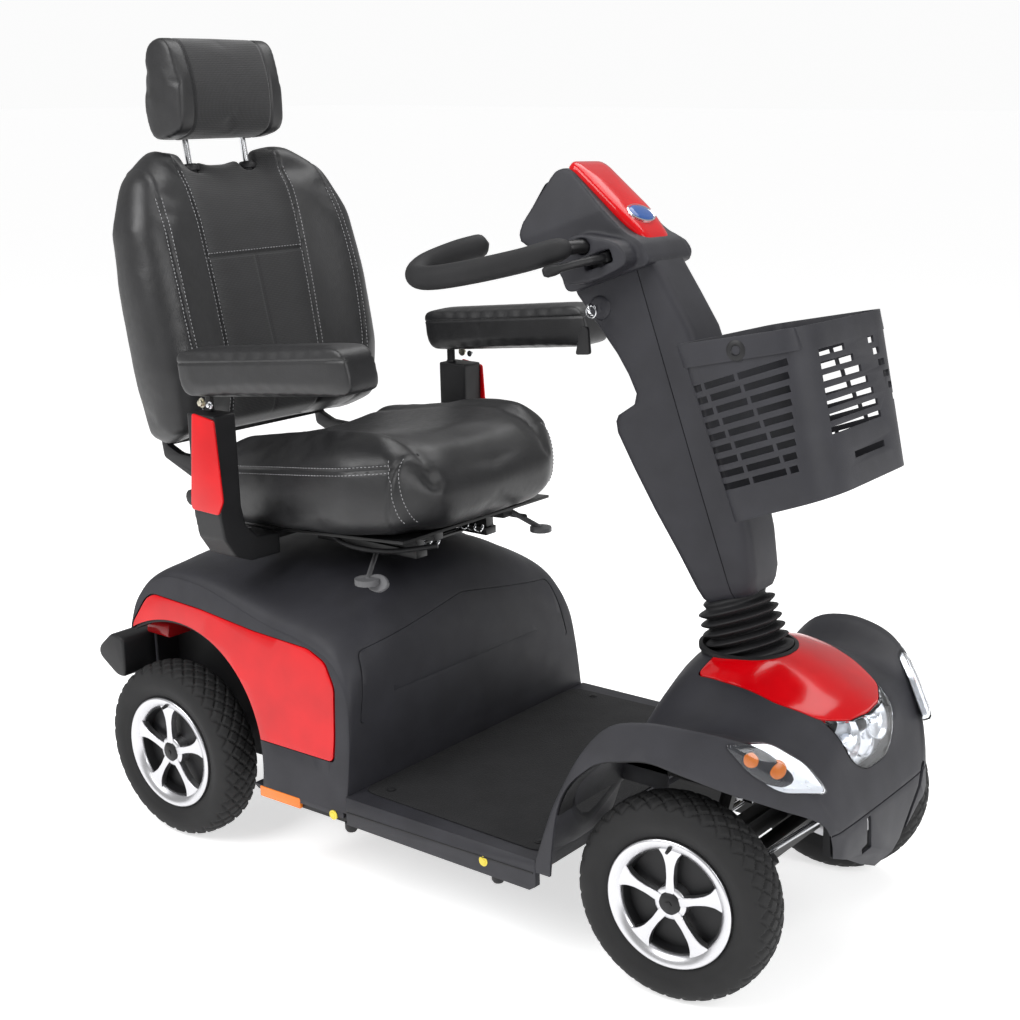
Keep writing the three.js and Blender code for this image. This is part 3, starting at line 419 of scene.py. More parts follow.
def plastic(name, color, roughness, grain, depth):
    """Moulded plastic with a fine texture, a little uneven in tone and shine."""
    made = new_material(name, color, roughness, Specular_IOR_Level=0.38)
    tone = noise(made, 60)
    vary(made, tone, "Base Color", [c * 0.88 for c in color], [c * 1.12 for c in color])
    vary(made, noise(made, 35), "Roughness", roughness - 0.07, roughness + 0.07)
    bump(made, cells(made, grain), depth)
    return made


def leather(name, color):
    made = new_material(name, color, 0.42, Specular_IOR_Level=0.55)
    vary(made, noise(made, 45), "Base Color", [c * 0.8 for c in color], [c * 1.2 for c in color])
    vary(made, noise(made, 12), "Roughness", 0.34, 0.5)
    bump(made, noise(made, 26, 4.0), 1.2, 0.5)
    bump(made, cells(made, 1.7), 0.22, 0.6)
    return made


def cloth(name, color):
    made = new_material(name, color, 0.85, Sheen_Weight=0.25)
    vary(made, noise(made, 30), "Base Color", [c * 0.85 for c in color], [c * 1.15 for c in color])
    bump(made, weave(made, 1.6), 0.4)
    return made


def gloss(name, color, roughness=0.16):
    made = new_material(name, color, roughness, Coat_Weight=0.2, Coat_Roughness=0.06, Specular_IOR_Level=0.3)
    vary(made, noise(made, 90), "Base Color", [c * 0.9 for c in color], [min(1, c * 1.08) for c in color])
    bump(made, noise(made, 7), 0.03, 0.5)
    return made


def metal(name, color, roughness, stretch=(1, 1, 1), size=3.0):
    made = new_material(name, color, roughness, 1.0)
    vary(made, noise(made, size, 4.0, stretch), "Roughness", roughness * 0.7, roughness * 1.3)
    bump(made, noise(made, size / 2, 3.0, stretch), 0.04, 0.4)
    return made


CHARCOAL = plastic("charcoal_plastic", (0.021, 0.021, 0.026), 0.55, 0.9, 0.12)
BLACK = plastic("black_plastic", (0.007, 0.007, 0.008), 0.48, 0.8, 0.08)
MAT = plastic("mat_rubber", (0.011, 0.011, 0.012), 0.8, 3.2, 0.8)
RUBBER = plastic("soft_rubber", (0.008, 0.008, 0.009), 0.6, 1.1, 0.1)
TYRE = plastic("tyre_rubber", (0.009, 0.009, 0.0095), 0.72, 1.6, 0.1)
FOAM = plastic("grip_foam", (0.008, 0.008, 0.009), 0.68, 1.3, 0.25)
RED = gloss("red_gloss", (0.56, 0.0, 0.003))
TAIL_RED = gloss("tail_lens", (0.3, 0.004, 0.006), 0.1)
AMBER = gloss("amber_lens", (0.75, 0.19, 0.02), 0.12)
BADGE = gloss("badge_blue", (0.03, 0.09, 0.3), 0.12)
YELLOW = gloss("yellow_disc", (0.75, 0.6, 0.06), 0.35)
LEATHER = leather("black_leather", (0.009, 0.009, 0.01))
FABRIC = cloth("black_fabric", (0.008, 0.008, 0.009))
THREAD = cloth("thread", (0.3, 0.3, 0.31))
CHROME = metal("chrome_steel", (0.72, 0.73, 0.75), 0.14)
ZINC = metal("zinc_steel", (0.55, 0.52, 0.42), 0.3)
MACHINED = metal("machined_aluminium", (0.62, 0.62, 0.64), 0.3, (1, 1, 1), 1.2)
CAST = metal("cast_aluminium", (0.3, 0.3, 0.32), 0.42)
GREY = plastic("grey_plastic", (0.11, 0.11, 0.115), 0.5, 1.4, 0.06)
FRAME = plastic("frame_paint", (0.007, 0.007, 0.0075), 0.36, 4.0, 0.05)
LENS = new_material("clear_lens", (0.95, 0.97, 1.0), 0.03, Transmission_Weight=1.0, IOR=1.35)
bump(LENS, noise(LENS, 14, 1.0), 0.25, 0.3)
REFLECTOR = metal("lamp_reflector", (0.9, 0.91, 0.93), 0.3, (1, 1, 1), 6.0)


# ---------- rear body ----------
COVER_BASE = 158
BODY_HALF = 337
COVER = [
    [-656, 394, 410],
    [-642, 438, 456],
    [-608, 474, 496],
    [-552, 494, 518],
    [-450, 488, 531],
    [-310, 455, 532],
    [-220, 442, 528],
    [-160, 424, 514],
    [-126, 396, 482],
    [-104, 356, 428],
    [-95, 290, 334],
    [-92.5, 230, 240],
]
ARCH_R = 240
ARCH_WALL = 258  # inner wall of the rear wheel arch


def cover_ring(x, shoulder, crest, inset):
    """A cross-section of the rear cover, whose side leans in up to its shoulder."""
    top = shoulder - inset
    rise = crest - shoulder
    low = COVER_BASE - 20 if inset > 0 else COVER_BASE
    lean = BODY_HALF - inset - 0.12 * (shoulder - COVER_BASE)
    half = [
        (BODY_HALF - inset, low),
        ((BODY_HALF - inset + lean) / 2, (low + top - 26) / 2),
        (lean, top - 26),
        (lean - 5, top - 9),
        (lean - 20, top + rise * 0.12),
        (lean - 70, top + rise * 0.42),
        (150, top + rise * 0.82),
    ]
    return [(x, y, z) for y, z in through(mirrored(half, [(0, top + rise)]), 4)]


def cover_form(name, inset):
    """The rear cover as a solid, drawn in by inset on every side."""
    middle = (COVER[0][0] + COVER[-1][0]) / 2
    reach = middle - COVER[0][0]
    shrink = (reach - inset) / reach
    rings = [cover_ring(middle + (x - middle) * shrink, a, b, inset) for x, a, b in through(COVER, 5)]
    return loft(name, rings)


PANEL = [
    [-620, 436],
    [-600, 448],
    [-470, 442],
    [-333, 428],
    [-198, 422],
    [-157, 406],
    [-132, 366],
    [-125, 280],
    [-125, 238],
    [-318, 238],
    [-380, 300],
    [-420, 340],
    [-652, 340],
    [-655, 384],
]
PANEL_MIDDLE = (-370, 350)
TAIL_LAMP = [(205, 386), (268, 380), (272, 352), (205, 352)]
FRONT_LINE = [(-292, 300), (-206, 338), (206, 338), (292, 300), (262, 420), (0, 462), (-262, 420)]


def panel_prism(s, scale):
    return side_run("panel_prism", rounded(scaled(PANEL, scale, PANEL_MIDDLE), 10), s, 250, 400)


def arch_tool(s, r, near=ARCH_WALL):
    x, z = REAR_AXLE
    return lathe("arch", [(0, near), (r, near), (r, BEYOND), (0, BEYOND)], 96, place(x, 0, z) @ OUT[s])


def post_tool():
    return lathe("post_hole", [(0, 300), (62, 300), (62, 700), (0, 700)], 48, place(SEAT_POST_X, 0, 0))


def cover_openings():
    tools = [post_tool()]
    for _, s in SIDES:
        tools.append(arch_tool(s, ARCH_R))
        near, far = sorted((s * ARCH_WALL, s * BEYOND))
        tools.append(box("behind", (-900, near, 0), (REAR_AXLE[0], far, 300)))
        tools.append(box("rail_slot", (-700, s * RAIL_Y - 18, 0), (-60, s * RAIL_Y + 18, 168)))
    return tools


def seam_tool(outline, width, low, high, axis, form, depth):
    """A groove of the given width along an outline, no deeper into a form than depth."""
    middle = [sum(c) / len(outline) for c in zip(*outline)]
    size = max(math.dist(p, middle) for p in outline)
    tool = run("seam", rounded(outline, 14), low, high, axis)
    inner = rounded(scaled(outline, 1 - width / size, middle), 14)
    carve(tool, [run("seam_core", inner, low - 5, high + 5, axis)])
    return carve(tool, [form(depth)])


def rear_body():
    front_seam = seam_tool(FRONT_LINE, 3, -140, -60, "X", lambda d: cover_form("core", d), 2)
    cover = cover_form("rear_cover_moulding", 0)
    carve(cover, [cover_form("inner", 5), *cover_openings(), front_seam])
    carve(cover, [panel_prism(s, 1) for _, s in SIDES])
    part(soften(cover, 1.2), "chassis", CHARCOAL, ["rear_cover"])
    liner = carve(cover_form("rear_cover_liner", 5.6), [cover_form("inner", 8), *cover_openings()])
    part(liner, "chassis", BLACK)
    for side, s in SIDES:
        panel = carve(panel_prism(s, 0.984), [cover_form("form", -0.6)], "INTERSECT")
        carve(panel, [cover_form("inner", 3.5), arch_tool(s, ARCH_R + 2, 200)])
        part(soften(panel, 1.6, 3), "chassis", RED, ["side_panel_" + side])
        x, z = REAR_AXLE
        well = [(34, 206), (240, 206), (240, 335), (236.5, 335), (236.5, 210), (34, 210)]
        house = lathe("wheel_house_" + side, well, 96, place(x, 0, z) @ OUT[s])
        carve(house, [cover_form("form", 4)], "INTERSECT")
        carve(house, [box("low", (-900, -400, -100), (0, 400, 112))])
        part(house, "chassis", BLACK)
        outline = rounded([(s * y, z) for y, z in TAIL_LAMP], 9)
        lamp = run("tail_lamp_" + side, outline, -668, -600, "X")
        carve(lamp, [cover_form("form", -3)], "INTERSECT")
        part(soften(lamp, 2, 3), "chassis", TAIL_RED)


BUMPER = [(-668, 352), (-700, 358), (-740, 324), (-740, 306), (-692, 274), (-668, 276)]


def bumper():
    bar = run("rear_bumper_moulding", rounded(BUMPER, 12), -322, 322, "Y")
    arms = [box("arm", (-690, s * RAIL_Y - 12, 130), (-656, s * RAIL_Y + 12, 300)) for _, s in SIDES]
    whole = soften(merge("rear_bumper_moulding", [bar, *arms]), 5, 4)
    part(whole, "chassis", BLACK, ["rear_bumper"])
    for side, s in SIDES:
        outline = rounded([(-302, 137), (-203, 137), (-203, 157), (-302, 157)], 3)
        reflector = side_run("side_reflector_lens_" + side, outline, s, 312, BODY_HALF)
        part(soften(reflector, 1.5, 3), "chassis", AMBER, ["side_reflector_" + side])


# ---------- front body ----------
SHROUD_BASE = 168
SHROUD = [
    [313, 337, 333, 200, 250, 192, 120, 193, 194],
    [328, 337, 330, 252, 250, 205, 116, 238, 280],
    [348, 337, 328, 300, 245, 245, 113, 302, 356],
    [388, 337, 325, 372, 235, 315, 113, 390, 436],
    [438, 336, 322, 426, 226, 378, 118, 450, 479],
    [501, 332, 315, 445, 220, 412, 125, 468, 490],
    [560, 320, 302, 445, 214, 422, 124, 462, 484],
    [610, 298, 280, 437, 200, 422, 118, 447, 467],
    [650, 268, 250, 420, 185, 412, 108, 432, 449],
    [680, 240, 224, 390, 165, 397, 98, 416, 434],
    [702, 216, 200, 358, 145, 370, 85, 393, 412],
    [716, 198, 184, 332, 132, 340, 75, 345, 350],
    [730, 176, 162, 296, 112, 300, 60, 303, 304],
    [740, 144, 132, 258, 90, 262, 50, 263, 264],
]
WELL = [
    (330, 60),
    (352, 290),
    (372, 330),
    (425, 378),
    (509, 398),
    (590, 376),
    (662, 344),
    (722, 306),
    (733, 270),
    (742, 60),
]
HOOD = [(468, 126), (520, 134), (610, 124), (672, 96), (697, 52), (703, 0)]
HOOD_MIDDLE = (582, 0)


def shroud_ring(x, values, inset):
    base_y, side_y, side_z, valley_y, valley_z, hood_y, hood_z, crest = values
    low = SHROUD_BASE - 30 if inset > 0 else SHROUD_BASE
    half = [
        (base_y - inset, low),
        (base_y - inset, (SHROUD_BASE + side_z) / 2),
        (side_y - inset * 0.9, side_z - 8 - inset),
        (side_y - 18 - inset * 0.5, side_z - inset),
        (valley_y, valley_z - inset),
        (hood_y, hood_z - inset),
    ]
    return [(x, y, z) for y, z in through(mirrored(half, [(0, crest - inset)]), 5)]


def shroud_form(name, inset):
    """The front shroud as a solid, drawn in by inset on every side."""
    middle = (SHROUD[0][0] + SHROUD[-1][0]) / 2
    reach = middle - SHROUD[0][0]
    shrink = (reach - inset) / reach
    rings = [shroud_ring(middle + (x - middle) * shrink, values, inset) for x, *values in through(SHROUD, 5)]
    return loft(name, rings)


def well_outline(scale):
    return rounded(scaled(WELL, scale, (535, 200)), 26)


def hood_prism(scale):
    half = scaled(HOOD, scale, HOOD_MIDDLE)
    whole = half + [(x, -y) for x, y in reversed(half[:-1])]
    return run("hood_prism", rounded(whole, 14), 380, 600, "Z")


def bellows_tool(r=76):
    return lathe("bellows_hole", [(0, 300), (r, 300), (r, 700), (0, 700)], 64, place(STEM_X, 0, 0))


def lamp_prism(margin, near=660):
    """The headlight's outline in the nose, grown by a margin."""
    wide = 96 + margin
    low = 334 - margin
    half = [(36, low), (wide - 26, 358), (wide - 6, 402), (wide, 450)]
    return run("lamp_prism", rounded(mirrored(half), 18), near, 760, "X")


def vent(outline):
    return run("vent", rounded(outline, 3), 640, 780, "X")


def chin_tool():
    """What lies under the nose, whose lower edge rises to both sides."""
    half = [(30, 176), (80, 200), (125, 226), (160, 240), (400, 244), (400, 0)]
    return run("chin", mirrored(half), 640, 760, "X")


def front_body():
    wells = [side_run("well", well_outline(1), s, 154, BEYOND) for _, s in SIDES]
    seam = run("nose_seam", [(600, 296), (790, 268), (790, 265.4), (600, 293.4)], -300, 300, "Y")
    carve(seam, [shroud_form("core", 1.6)])
    shroud = carve(
        shroud_form("front_shroud_moulding", 0),
        [
            shroud_form("inner", 5),
            *wells,
            box("under", (300, -153, 0), (716, 153, 262)),
            chin_tool(),
            hood_prism(1),
            lamp_prism(1),
            bellows_tool(),
            seam,
            vent([(-62, 268), (-50, 270), (-44, 214), (-76, 214), (-78, 224), (-60, 226)]),
            vent([(146, 290), (156, 284), (66, 186), (54, 186)]),
        ],
    )
    part(soften(shroud, 1.2), "chassis", CHARCOAL, ["front_shroud"])
    hood = carve(hood_prism(0.985), [shroud_form("form", -0.6)], "INTERSECT")
    carve(hood, [shroud_form("inner", 3.5), bellows_tool(78)])
    part(soften(hood, 1.6, 3), "chassis", RED, ["hood_panel"])
    bed = carve(hood_prism(1.06), [shroud_form("form", 5.4)], "INTERSECT")
    lamp_room = box("lamp_room", (650, -120, 300), (760, 120, 600))
    carve(bed, [shroud_form("inner", 8), bellows_tool(78), lamp_room])
    part(bed, "chassis", BLACK).name = "hood_bed"
    for side, s in SIDES:
        house = side_run("fender_liner_" + side, well_outline(1), s, 156, 334)
        carve(house, [side_run("well", well_outline(0.985), s, 160, BEYOND)])
        carve(house, [shroud_form("form", 4)], "INTERSECT")
        low = box("low", (200, -400, 0), (900, 400, 140))
        gap = box("gap", (300, -200, 0), (716, 200, 300))
        sweep = box("sweep", (200, -400, 0), (400, 400, 272))
        carve(house, [low, gap, sweep, chin_tool()])
        part(house, "chassis", BLACK)
        back = side_run("fender_liner_back_" + side, well_outline(1), s, 156, 296)
        ahead = box("ahead", (440, -400, 0), (900, 400, 600))
        carve(back, [side_run("well", well_outline(0.985), s, 160, BEYOND), ahead])
        carve(back, [box("low", (200, -400, 0), (900, 400, 272))])
        part(back, "chassis", CHARCOAL)


def lamps():
    lens = carve(lamp_prism(-0.5), [shroud_form("form", -0.5)], "INTERSECT")
    carve(lens, [shroud_form("inner", 2.5), hood_prism(1)])
    part(soften(lens, 0.8), "chassis", LENS, ["headlight"])
    bowl = carve(lamp_prism(0.5), [shroud_form("form", 16)], "INTERSECT")
    carve(bowl, [shroud_form("inner", 19), hood_prism(1)])
    part(bowl, "chassis", REFLECTOR).name = "headlight_reflector"
    rim = carve(lamp_prism(1.5, 640), [lamp_prism(-1.5, 600), hood_prism(1)])
    carve(rim, [shroud_form("form", 2)], "INTERSECT")
    part(rim, "chassis", BLACK).name = "headlight_surround"
    dish = [(0, -22), (12, -20), (24, -12), (31, 0), (33, 0), (26, -14), (13, -23), (0, -25)]
    for i, (y, z) in enumerate([(-46, 386), (46, 386), (0, 372)]):
        at = aimed((686 + z * 0.02, y, z), (0.93, 0, 0.36))
        part(lathe(f"headlight_dish_{i}", dish, 32, at), "chassis", REFLECTOR)
        bulb = [(0, 4), (5, 2), (7, -4), (6, -12), (0, -16)]
        part(lathe(f"headlight_bulb_{i}", bulb, 20, at), "chassis", LENS)
    for side, s in SIDES:
        indicator(side, s)


LEAF = [(0, 0), (0.3, -0.13), (0.62, -0.16), (1, 0), (0.72, 0.14), (0.35, 0.17)]
LEAF_LAYERS = [(1.0, -8), (1.0, 3), (0.95, 6.5), (0.8, 9), (0.45, 10.4), (0.1, 10.7)]


def indicator(side, s):
    """A leaf-shaped lens over two amber bulbs, standing on the cheek."""
    tail = Vector((602, s * 272, 430))
    tip = Vector((722, s * 164, 343))
    along = (tip - tail).normalized()
    size = (tip - tail).length
    out = Vector((0.55, s * 0.72, 0.42)).normalized()
    out = (out - along * out.dot(along)).normalized()
    across = out.cross(along)
    at = Matrix((along, across, out)).transposed().to_4x4()
    at.translation = tail + out * 12
    outline = rounded([(u * size, v * size) for u, v in LEAF], 16, 8)
    middle = (size * 0.5, 0)
    rings = [[(u, v, h) for u, v in scaled(outline, k, middle)] for k, h in LEAF_LAYERS]
    shell = loft("indicator_lens_" + side, rings, at)
    core = [[(u, v, h - 2.2) for u, v in scaled(outline, k * 0.95, middle)] for k, h in LEAF_LAYERS]
    carve(shell, [loft("core", core, at)])
    part(shell, "chassis", LENS, ["indicator_" + side])
    floor = scaled(outline, 0.93, middle)
    tray = loft("indicator_tray_" + side, [[(u, v, h) for u, v in floor] for h in (-7, 1)], at)
    part(tray, "chassis", REFLECTOR)
    for i, u in enumerate((0.27, 0.5)):
        dome = [(0, 5.2), (8, 4.8), (13, 3), (14.5, 1), (14.5, 0), (0, 0)]
        bulb = lathe(f"indicator_bulb_{side}_{i}", dome, 28, at @ Matrix.Translation((u * size, 0, 1)))
        part(bulb, "chassis", AMBER)


# ---------- deck and trim ----------
DECK_TOP = 188


def screw(name, point, direction, r, body, material):
    """A domed screw head in a shallow washer."""
    head = [(0, 2.6), (r * 0.55, 2.3), (r * 0.62, 1.0), (r, 0.9), (r, -3), (0, -3)]
    return part(lathe(name, head, 28, aimed(point, direction)), body, material)


def hex_bolt(name, point, direction, r, body, material=ZINC):
    at = aimed(point, direction)
    washer = lathe(name, [(0, 0), (r * 1.35, 0), (r * 1.35, 1.6), (0, 1.6)], 28, at)
    head = soften(lathe(name, [(0, 1.6), (r, 1.6), (r, 6.5), (r * 0.8, 7.4), (0, 7.4)], 6, at), 0.5)
    return part(merge(name, [washer, head]), body, material)


def deck():
    mat_plan = rounded([(-88, -300), (306, -312), (306, 312), (-88, 300)], 26)
    mat = run("floor_mat", mat_plan, DECK_TOP, DECK_TOP + 2.5, "Z")
    part(soften(mat, 1), "chassis", MAT)
    for i, (x, y) in enumerate([(-47, -273), (-27, 283), (280, -285), (280, 285)]):
        screw(f"deck_screw_{i}", (x, y, DECK_TOP + 3), (0, 0, 1), 8, "chassis", RUBBER)
    for side, s in SIDES:
        line = [(x, s * 337.2, 162 + 0.01 * x) for x in (-90, 40, 180, 308)]
        part(tube("sill_line_" + side, line, 1.3, 6), "chassis", RUBBER)
        for i, (x, z) in enumerate([(-123, 148), (208, 157)]):
            screw(f"tie_down_disc_{side}_{i}", (x, s * 337, z), (0, s, 0), 8.5, "chassis", YELLOW)
        for i, x in enumerate((-92, 229)):
            foot = [(0, 0), (11, 0), (11, -12), (8, -17), (0, -17)]
            made = lathe(f"tie_down_foot_{side}_{i}", foot, 24, place(x, s * 326, 140))
            part(made, "chassis", RUBBER)
        outline = rounded([(-318, 158), (-100, 158), (-100, 146), (-306, 150)], 3)
        skirt = side_run("cover_sill_" + side, outline, s, 314, 336)
        part(soften(skirt, 1.5), "chassis", CHARCOAL)


# ---------- wheels ----------
TYRE_SECTION = [
    (107, -33), (119, -38), (132, -41), (146, -39.5), (156, -34), (162.5, -22), (165, -8),
    (165, 8), (162.5, 22), (156, 34), (146, 39.5), (132, 41), (119, 38), (107, 33),
]
TREAD_PITCHES = 34
TREAD_PITCH = 25.0
TREAD_DEPTH = 3.2


def groove(x):
    """0 on a block, 1 in a groove, for a pattern that repeats every unit."""
    edge = (abs(x % 1 - 0.5) - 0.37) / 0.07
    return min(1.0, max(0.0, edge))


def tyre_mesh():
    outer = through(TYRE_SECTION, 5)
    rings = []
    for a in turns(TREAD_PITCHES * 11):
        ring = []
        for r, h in outer:
            u = a * TREAD_PITCHES / (2 * math.pi)
            crossed = max(groove(u + h / TREAD_PITCH), groove(u - h / TREAD_PITCH))
            fade = min(1.0, max(0.0, (r - 148) / 8))
            bead = 0.8 if 121 < r < 124 else 0
            depth = TREAD_DEPTH * crossed * fade - bead
            ring.append(((r - depth) * math.cos(a), (r - depth) * math.sin(a), h))
        ring += [(104 * math.cos(a), 104 * math.sin(a), h) for h in (30, 0, -30)]
        rings.append(ring)
    return loft("tyre_form", rings, capped=False, looped=True)


HALF_SPOKE = [(8, 16), (6, 42), (7.5, 62), (12, 76), (23, 90)]
SPOKE = [(-8, 16)] + HALF_SPOKE + [(-u, v) for u, v in reversed(HALF_SPOKE[1:])]
RIM_RING = [(104.5, 30), (105, 37), (102, 39), (96, 37.5), (88, 33), (84.5, 27), (84, -30), (104.5, -34)]
POCKET = [(26, 8), (86, 6), (86, 10), (26, 12)]
CAP = [(0, 37), (9, 36.5), (16, 34.5), (19.5, 31), (20, 18), (0, 18)]


def rim_forms():
    ring = soften(lathe("ring", RIM_RING, 120), 1)
    spokes = []
    for a in turns(5):
        spoke = run("spoke", rounded(SPOKE, 5, 4), 20, 33, "Z", Matrix.Rotation(a, 4, "Z"))
        spokes.append(soften(spoke, 2.2, 3))
    hub = soften(lathe("hub", [(12.5, -16), (27, -16), (27, 30), (22, 32), (12.5, 32)], 60), 1)
    return ring, spokes, hub


def wheel_forms():
    """What the four wheels share: each form's mesh, its material and its slot."""
    tyre = tyre_mesh()
    ring, spokes, hub = rim_forms()
    bright = merge("rim_bright", [ring, *spokes, hub])
    dark = lathe("rim_dark", POCKET, 64)
    lining = lathe("rim_lining", [(82, 10), (84, 26), (83, 26), (80, 10)], 96)
    dark = merge("rim_dark", [dark, lining])
    cap = lathe("rim_cap", CAP, 48)
    star = soften(lathe("cap_mark", [(0, 36.8), (6, 36.8), (6, 38), (0, 38)], 5), 0.3)
    cap = merge("rim_cap", [cap, star])
    valve = tube("valve", [(0, 92, 26), (0, 90, 36), (0, 88, 44)], [4, 3.4, 2.6], 12)
    forms = {
        "tyre": (tyre, TYRE, "tyre"),
        "rim_face": (bright, MACHINED, "rim"),
        "rim_pocket": (dark, BLACK, "black"),
        "hub_cap": (cap, BLACK, "black"),
        "valve": (valve, RUBBER, "rubber"),
    }
    for obj, material, _ in forms.values():
        obj.data.materials.clear()
        obj.data.materials.append(material)
        smooth(obj, 35)
    return forms


def wheels():
    forms = wheel_forms()
    for side, s in SIDES:
        turn = math.radians(STEERED)
        spindle = Vector((-math.sin(turn), math.cos(turn), 0)) * s * SPINDLE
        kingpin = Vector((KINGPIN[0], s * KINGPIN[1], KINGPIN[2]))
        rear = Vector((REAR_AXLE[0], s * REAR_HALF_TRACK, REAR_AXLE[1]))
        centres = {"rear": (rear, 0), "front": (kingpin + spindle, turn)}
        for end, (centre, angle) in centres.items():
            body = f"{end}_wheel_{side}"
            at = Matrix.Translation(centre * MM) @ Matrix.Rotation(angle, 4, "Z") @ OUT[s]
            for name, (form, _, slot) in forms.items():
                piece = linked(f"{name}_{end}_{side}_detail", form.data)
                piece.matrix_world = at
                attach(piece, body)
                if name == "tyre":
                    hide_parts(f"tyre_{end}_{side}")
                if name == "rim_face":
                    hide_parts(f"rim_{end}_{side}")
    for form, _, _ in forms.values():
        bpy.data.objects.remove(form)


def suspension():
    for side, s in SIDES:
        line = [(600, s * 118, 196), (640, s * 118, 232), (690, s * 118, 276)]
        part(tube("suspension_rod_" + side, line, 5, 14), "chassis", CHROME)
        line = [(520, s * 148, 150), (575, s * 138, 152), (612, s * 118, 190)]
        part(tube("lower_arm_" + side, line, 11, 14), "chassis", FRAME)
        coil = [
            (470 + 15 * math.cos(a), s * 140 + 15 * math.sin(a), 196 + 9 * a / (2 * math.pi))
            for a in [i * 0.4 for i in range(110)]
        ]
        part(tube("front_spring_" + side, coil, 3.2, 8), "chassis", ZINC)


# ---------- tiller ----------
def bellows():
    """Rubber folds from the collar on the hood to the foot of the column."""
    folds = [(70, -40), (72, -34), (66, -30)]
    for i in range(5):
        h = -26 + i * 16
        folds += [(54, h), (66 - i, h + 5), (66.5 - i, h + 9), (54 - i, h + 14)]
    folds += [(52, 60), (47, 64)]
    outer = through(folds, 4)
    profile = outer + [(r - 3, h) for r, h in reversed(outer)]
    boot = lathe("bellows_boot", profile, 72, TILLER)
    boot.data.materials.append(RUBBER)
    smooth(boot, 60)
    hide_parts("bellows")
    foot, top = (MM * (TILLER @ Vector((0, 0, h))) for h in (-24, 46))
    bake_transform(boot)
    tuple(foot)
    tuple(top)
    ring = [(71, 440), (76, 440), (76, 476), (80, 478), (80, 484), (74, 486), (69, 480), (69, 444)]
    part(lathe("bellows_collar", ring, 72, place(STEM_X, 0, 0)), "chassis", RUBBER)


COLUMN_CORNER = 19
# Column stations: height, front, rear, half-width.
COLUMN = [
    (58, 44, -22, 34),
    (62, 56, -30, 44),
    (72, 62, -34, 50),
    (90, 70, -39, 52),
    (150, 82, -52, 53),
    (230, 88, -72, 54),
    (300, 88, -87, 54),
    (362, 87, -98, 54),
    (380, 87, -95, 54),
    (388, 87, -88, 54),
    (397, 87, -54, 54),
    (412, 87, -45, 54),
    (444, 86.5, -49, 54),
    (480, 85, -58, 54),
    (534, 72, -78, 54),
    (588, 58, -98, 54),
    (604, 54, -100, 54),
]


def column_form(name, inset):
    """The tiller column as a solid, through its stations."""
    rings = []
    for z, front, rear, half in COLUMN:
        x0, x1, y1 = rear + inset, front - inset, half - inset
        plan = [(x0, -y1), (x1, -y1), (x1, y1), (x0, y1)]
        rings.append([(x, y, z) for x, y in rounded(plan, COLUMN_CORNER, 6)])
    return loft(name, rings, TILLER)


def column():
    front = column_form("column_front_shell", 0)
    carve(front, [box("cut", (-200, -90, 0), (24.8, 90, 700), TILLER)])
    part(soften(front, 1), "tiller", CHARCOAL, ["tiller_cover_front"])
    rear = column_form("column_rear_shell", 0)
    slot_box = box("slot", (-140, -9, 308), (-56, 9, 348), TILLER)
    carve(rear, [box("cut", (23.4, -90, 0), (200, 90, 700), TILLER), slot_box])
    part(soften(rear, 1), "tiller", CHARCOAL, ["tiller_cover_rear"])
    seam = column_form("column_seam", 1.6)
    carve(seam, [box("keep", (22, -90, 64), (26.5, 90, 598), TILLER)], "INTERSECT")
    part(seam, "tiller", BLACK)
    boss = [(0, 4), (12, 4), (17, 3), (19.5, 0), (19.5, -4), (0, -4)]
    at = TILLER @ aimed((-58, -54, 556), (0, -1, 0))
    part(lathe("key_boss", boss, 40, at), "tiller", CHARCOAL)
    fob_at = TILLER @ place(-76, -84, 534, 24)
    fob = run("key_fob", rounded([(-6, 0), (6, 0), (14, -42), (-12, -46)], 5), -4, 4, "Y", fob_at)
    part(soften(fob, 1.5, 3), "key", BLACK)
    ring = [(-58 + 9 * math.cos(a), -84, 552 + 9 * math.sin(a)) for a in turns(24)]
    part(tube("key_ring", ring, 1.1, 8, TILLER, looped=True), "key", CHROME)


